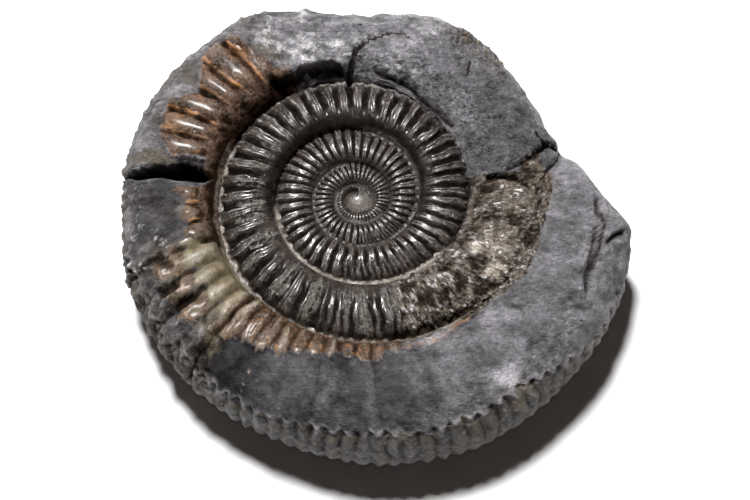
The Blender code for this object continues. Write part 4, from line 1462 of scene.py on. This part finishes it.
@dataclass(frozen=True)
class StoneFinish:
    """Every finish of the fossil, laid over each other in this order."""

    shale: Finish = Finish(
        (0.078, 0.075, 0.080), (0.240, 0.230, 0.245), (0.20, 0.48), 4.0, 0.45, 0.62, patchy=0.30,
        facets=(1.10, 0.90), faces=0.30,
    )
    shell: Finish = Finish(
        (0.014, 0.011, 0.009), (0.066, 0.053, 0.045), (0.13, 0.32), 2.0, 0.65, 0.20, 0.85, Mark.SHELL,
        facets=(0.25, 0.22),
    )
    rust: Finish = Finish(
        (0.010, 0.006, 0.004), (0.160, 0.094, 0.060), (0.16, 0.45), 3.0, 0.55, 0.30, 0.15, Mark.RUST,
        patchy=0.45, facets=(0.30, 0.30),
    )
    calcite: Finish = Finish(
        (0.060, 0.046, 0.026), (0.225, 0.184, 0.114), (0.24, 0.45), 2.2, 0.50, 0.120, 0.15, Mark.CALCITE,
        facets=(0.06, 0.06),
    )
    crystal: Finish = Finish(
        (0.014, 0.010, 0.007), (0.270, 0.222, 0.180), (0.14, 0.45), 1.1, 0.60, 0.25, 0.2, Mark.CRYSTAL,
        patchy=0.45, facets=(0.90, 1.90), faces=0.60,
    )
    scab: Finish = Finish(
        (0.030, 0.026, 0.023), (0.190, 0.172, 0.150), (0.18, 0.5), 0.8, 0.5, 0.15, 0.1, Mark.SCAB,
        facets=(1.30, 1.00), faces=0.45,
    )
    tints: tuple[Tint, ...] = (
        # Lighter rib crests and grains: partly wear, partly painted highlight.
        Tint(Mark.CREST, (0.235, 0.214, 0.196), 0.20, 0.64, 1.8),
        Tint(Mark.GOLD, (0.480, 0.220, 0.075), 0.34, 0.92, 1.1),
        Tint(Mark.DUST, (0.150, 0.118, 0.075), 0.75, 0.75, 1.6),
        Tint(Mark.PALE, (0.560, 0.480, 0.390), 0.48, 0.90, 1.5),
        # Near-white: painted glints and sheen, and one real whitish patch.
        Tint(Mark.GLEAM, (0.840, 0.815, 0.840), 0.40, 0.90, 1.7),
    )

    bedding: Colour = (0.80, 1.20, 1.0)

    def _noise(self, graph: Graph, place: Socket, size: float, detail: float, blotchy: float) -> Socket:
        """Returns noise with lumps of a size in millimetres."""
        inputs = {"Vector": place, "Scale": 1.0 / (size * MM), "Detail": detail, "Roughness": blotchy}
        return graph.add("ShaderNodeTexNoise", {}, inputs)

    def _facets(self, graph: Graph, place: Socket, size: float) -> tuple[Socket, Socket]:
        """Returns the height in millimetres of small flat faces, each leaning its own way, and their tone."""
        centre = graph.add("ShaderNodeTexVoronoi", {}, {"Vector": place, "Scale": 1.0 / (size * MM)}, "Position")
        away = graph.add("ShaderNodeVectorMath", {"operation": "SUBTRACT"}, {0: place, 1: centre})
        middle = (0.5, 0.5, 0.5)
        lean = graph.add("ShaderNodeVectorMath", {"operation": "SUBTRACT"}, {0: centre.beside("Color"), 1: middle})
        rise_here = graph.add("ShaderNodeVectorMath", {"operation": "DOT_PRODUCT"}, {0: away, 1: lean}, "Value")
        return rise_here * (1.0 / MM), centre.beside("Color").spread(0.25, 0.75)

    def material(self) -> bpy.types.Material:
        """Returns the fossil's material."""
        graph = Graph("fossil_stone")
        place = graph.add("ShaderNodeTexCoord", {}, {}, "Object")
        fine = self._noise(graph, place, 0.34, 4.0, 0.7)
        broad = self._noise(graph, place, 6.0, 4.0, 0.55)
        bedded = graph.add("ShaderNodeVectorMath", {"operation": "MULTIPLY"}, {0: place, 1: self.bedding})
        small_faces, small_tone = self._facets(graph, place, 0.42)
        large_faces, large_tone = self._facets(graph, place, 0.85)
        flat_faces, flat_tone = self._facets(graph, bedded, 0.60)
        face_tone = small_tone * 0.5 + large_tone * 0.5
        colour: Value = (0.0, 0.0, 0.0)
        roughness: Value = 0.5
        height: Value = 0.0
        coat: Value = 0.0
        dull: Value = 0.0
        for finish in (self.shale, self.shell, self.rust, self.calcite, self.crystal, self.scab):
            where = bedded if finish.mark is None else place
            patches = self._noise(graph, where, finish.patch, 5.0, 0.62).spread(*finish.spread)
            grains = self._noise(graph, where, finish.grain, 4.0, 0.7)
            crisp = grains.spread(0.32, 0.68)
            blotch = patches * finish.patchy + crisp * (1 - finish.patchy)
            if finish.faces:
                blotch = graph.between(blotch, flat_tone if finish.mark is None else face_tone, finish.faces)
            own_colour = graph.blend(finish.dark, finish.light, blotch)
            own_gloss = finish.gloss[0] + (finish.gloss[1] - finish.gloss[0]) * grains.spread(0.35, 0.7)
            own_height = grains * finish.depth + patches * (finish.depth * 0.5)
            first_faces = flat_faces if finish.mark is None else small_faces
            own_height = own_height + first_faces * finish.facets[0] + large_faces * finish.facets[1]
            if finish.mark is None:
                grain = graph.mark(Mark.GRAIN)
                # The tone mark sets the shale's lightness: its own tone, and in places painted light and shade.
                shade = graph.mark(Mark.SHADE) * 2.0
                level = shade * (0.72 + 0.56 * broad) * (1.0 + (fine.spread(0.3, 0.7) - 0.5) * (0.2 + grain * 0.4))
                tone = graph.add("ShaderNodeCombineColor", {}, {0: level, 1: level, 2: level})
                colour = graph.darken(own_colour, tone)
                roughness = own_gloss + 0.46 - 0.52 * grain
                coat = finish.coat * fine
                height = own_height * (0.35 + grain)
                dull = (0.45 - grain).spread(0.0, 0.35)
                continue
            share = (graph.mark(finish.mark) + (fine - 0.5) * finish.ragged * 0.6).spread(0.25, 0.75)
            colour = graph.blend(colour, own_colour, share)
            roughness = graph.between(roughness, own_gloss, share)
            height = graph.between(height, own_height, share)
            coat = graph.between(coat, finish.coat, share)
            dull = graph.between(dull, 0.0, share)
        for tint in self.tints:
            share = graph.mark(tint.mark) * (1.0 + (fine - 0.5) * 2.0 * tint.ragged)
            share = (share * tint.share).spread(0.0, 1.0)
            colour = graph.blend(colour, tint.colour, share)
            roughness = graph.between(roughness, tint.roughness, share)
            if tint.roughness > 0.5:
                coat = coat * (1 - share)
        # Painted shade: the hollow mark darkens the colour and gives those places a dull diffuse surface without
        # sheen.
        hollow = graph.mark(Mark.HOLLOW).spread(0.0, 1.0)
        normal = graph.add("ShaderNodeBump", {}, {"Strength": 1.0, "Distance": MM, "Height": height}, "Normal")
        inputs = {
            "Base Color": colour, "Roughness": roughness, "Coat Weight": coat, "Coat Roughness": 0.17,
            "IOR": 1.52, "Normal": normal,
        }
        open_surface = graph.add("ShaderNodeBsdfPrincipled", {}, inputs)
        # The dull diffuse surface takes the painted-shade places and the dull shale alike.
        dark = graph.darken(colour, (0.16, 0.14, 0.13), hollow)
        hidden = graph.add("ShaderNodeMath", {"operation": "MAXIMUM"}, {0: hollow, 1: dull})
        hidden_surface = graph.add("ShaderNodeBsdfDiffuse", {}, {"Color": dark, "Roughness": 0.5, "Normal": normal})
        graph.add_output(graph.add("ShaderNodeMixShader", {}, {0: hidden, 1: open_surface, 2: hidden_surface}))
        return graph.material


# ---------------------------------------------------------------------------------------------------
# The fossil and the studio
# ---------------------------------------------------------------------------------------------------


@dataclass
class Fossil:
    """The whole stone: its form, its relief and its finish."""

    coil: Coil = field(default_factory=Coil)
    finish: StoneFinish = StoneFinish()
    worn_above: float = 21.6
    noise: StoneNoise = StoneNoise(97)

    def build(self) -> bpy.types.Object:
        """Returns the finished object."""
        skin = SkinMaker(self.coil).make()
        relief = Relief(skin, self.coil)
        brown = BrownShell()
        InnerWhorls().carve(relief)
        BackRock().carve(relief)
        LeftFlank().carve(relief, brown)
        Frill().carve(relief, brown)
        brown.carve(relief)
        RightFlank().carve(relief)
        Seams().carve(relief)
        Crystals().carve(relief)
        RimRibs().carve(relief)
        OpenCrack().carve(relief)
        Cracks().carve(relief)
        Underside().carve(relief)
        # Painted light and shade: patches of lighter and darker tone, stretched along the bedding, standing in for the
        # light and shade of small folds that the mesh doesn't carry.
        bedded = skin.base * np.array([0.78, 1.25, 1.0])
        light_and_wear_patches = 0.55 * self.noise.rough(bedded, 2.6, 3) + 0.45 * self.noise.rough(bedded + 40.0, 0.9, 2)
        relief.marks[Mark.SHADE] *= 1 + 1.30 * light_and_wear_patches
        place = skin.base + skin.normal * relief.lift[:, None]
        place[:, 2] -= relief.sink
        place[:, 2] -= 0.65 * np.maximum(place[:, 2] - self.worn_above, 0.0)
        place[:, 2] = np.maximum(place[:, 2], 0.0)
        low = ~relief.on_coil & (skin.z < 1e-6)
        place[low, 2] = np.maximum(0, -relief.sink[low])
        mesh = bpy.data.meshes.new(NODE)
        mesh.from_pydata((place * MM).tolist(), [], skin.faces)
        mesh.shade_smooth()
        for mark, amount in relief.marks.items():
            layer = mesh.attributes.new(mark.value, "FLOAT", "POINT")
            layer.data.foreach_set("value", np.clip(amount, 0, 1).astype(np.float32))
        mesh.materials.append(self.finish.material())
        fossil = bpy.data.objects.new("fossil_stone", mesh)
        bpy.context.scene.collection.objects.link(fossil)
        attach(fossil, "root")
        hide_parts(NODE)
        log.info("fossil: %d points, %d faces", len(mesh.vertices), len(mesh.polygons))
        return fossil


@dataclass
class Studio:
    """A plain pale floor, one soft key light and a dim surround."""

    floor_size: float = 6.0
    floor_colour: Colour = (0.93, 0.925, 0.92)
    key_direction: Colour = (-0.12, 0.30, 1.0)
    key_distance: float = 0.70
    key_size: float = 0.13
    key_power: float = 9.5
    surround: float = 0.028

    def build(self) -> None:
        """Adds the floor, the light and the world."""
        half = self.floor_size / 2
        mesh = bpy.data.meshes.new("floor")
        corners = [(-half, -half, 0), (half, -half, 0), (half, half, 0), (-half, half, 0)]
        mesh.from_pydata(corners, [], [(0, 1, 2, 3)])
        graph = Graph("floor")
        surface = graph.add(
            "ShaderNodeBsdfPrincipled", {}, {"Base Color": self.floor_colour, "Roughness": 0.9, "IOR": 1.2}
        )
        graph.add_output(surface)
        mesh.materials.append(graph.material)
        floor = bpy.data.objects.new("floor", mesh)
        bpy.context.scene.collection.objects.link(floor)
        self._lamp("key", self.key_direction, self.key_power)
        world = bpy.data.worlds.new("surround")
        world.use_nodes = True
        sky = world.node_tree.nodes["Background"]
        sky.inputs["Color"].default_value = (1.0, 0.80, 0.72, 1.0)
        sky.inputs["Strength"].default_value = self.surround
        bpy.context.scene.world = world
        bpy.context.scene.view_settings.view_transform = "Standard"
        log.info("studio: floor, key light and surround")


    def _lamp(self, name: str, direction: Colour, power: float) -> None:
        """Adds a round area light that faces the fossil."""
        lamp = bpy.data.objects.new(name, bpy.data.lights.new(name, "AREA"))
        lamp.data.shape = "DISK"
        lamp.data.size = self.key_size
        lamp.data.energy = power
        way = Vector(direction).normalized()
        lamp.location = way * self.key_distance
        lamp.rotation_euler = way.to_track_quat("Z", "Y").to_euler()
        bpy.context.scene.collection.objects.link(lamp)


@dataclass
class Viewpoint:
    """Where the camera stands."""

    place: Colour = (0.0032076, -0.13551509, 0.357752538)
    tilt_degrees: float = 20.0
    lens: float = 100.0

    def build(self) -> None:
        """Adds the camera and makes it the scene's own."""
        camera = bpy.data.objects.new("camera", bpy.data.cameras.new("camera"))
        camera.data.lens = self.lens
        camera.data.sensor_width = 36.0
        camera.location = self.place
        camera.rotation_euler = Euler((math.radians(self.tilt_degrees), 0, 0))
        bpy.context.scene.collection.objects.link(camera)
        bpy.context.scene.camera = camera
        log.info("camera: tilted %.0f degrees", self.tilt_degrees)


def main() -> None:
    """Builds the fossil, the studio and the camera."""
    logging.basicConfig(level=logging.INFO)
    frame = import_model()
    log.info("frame: %s", list(frame["nodes"]))
    Fossil().build()
    Studio().build()
    Viewpoint().build()


if __name__ == "__main__":
    main()
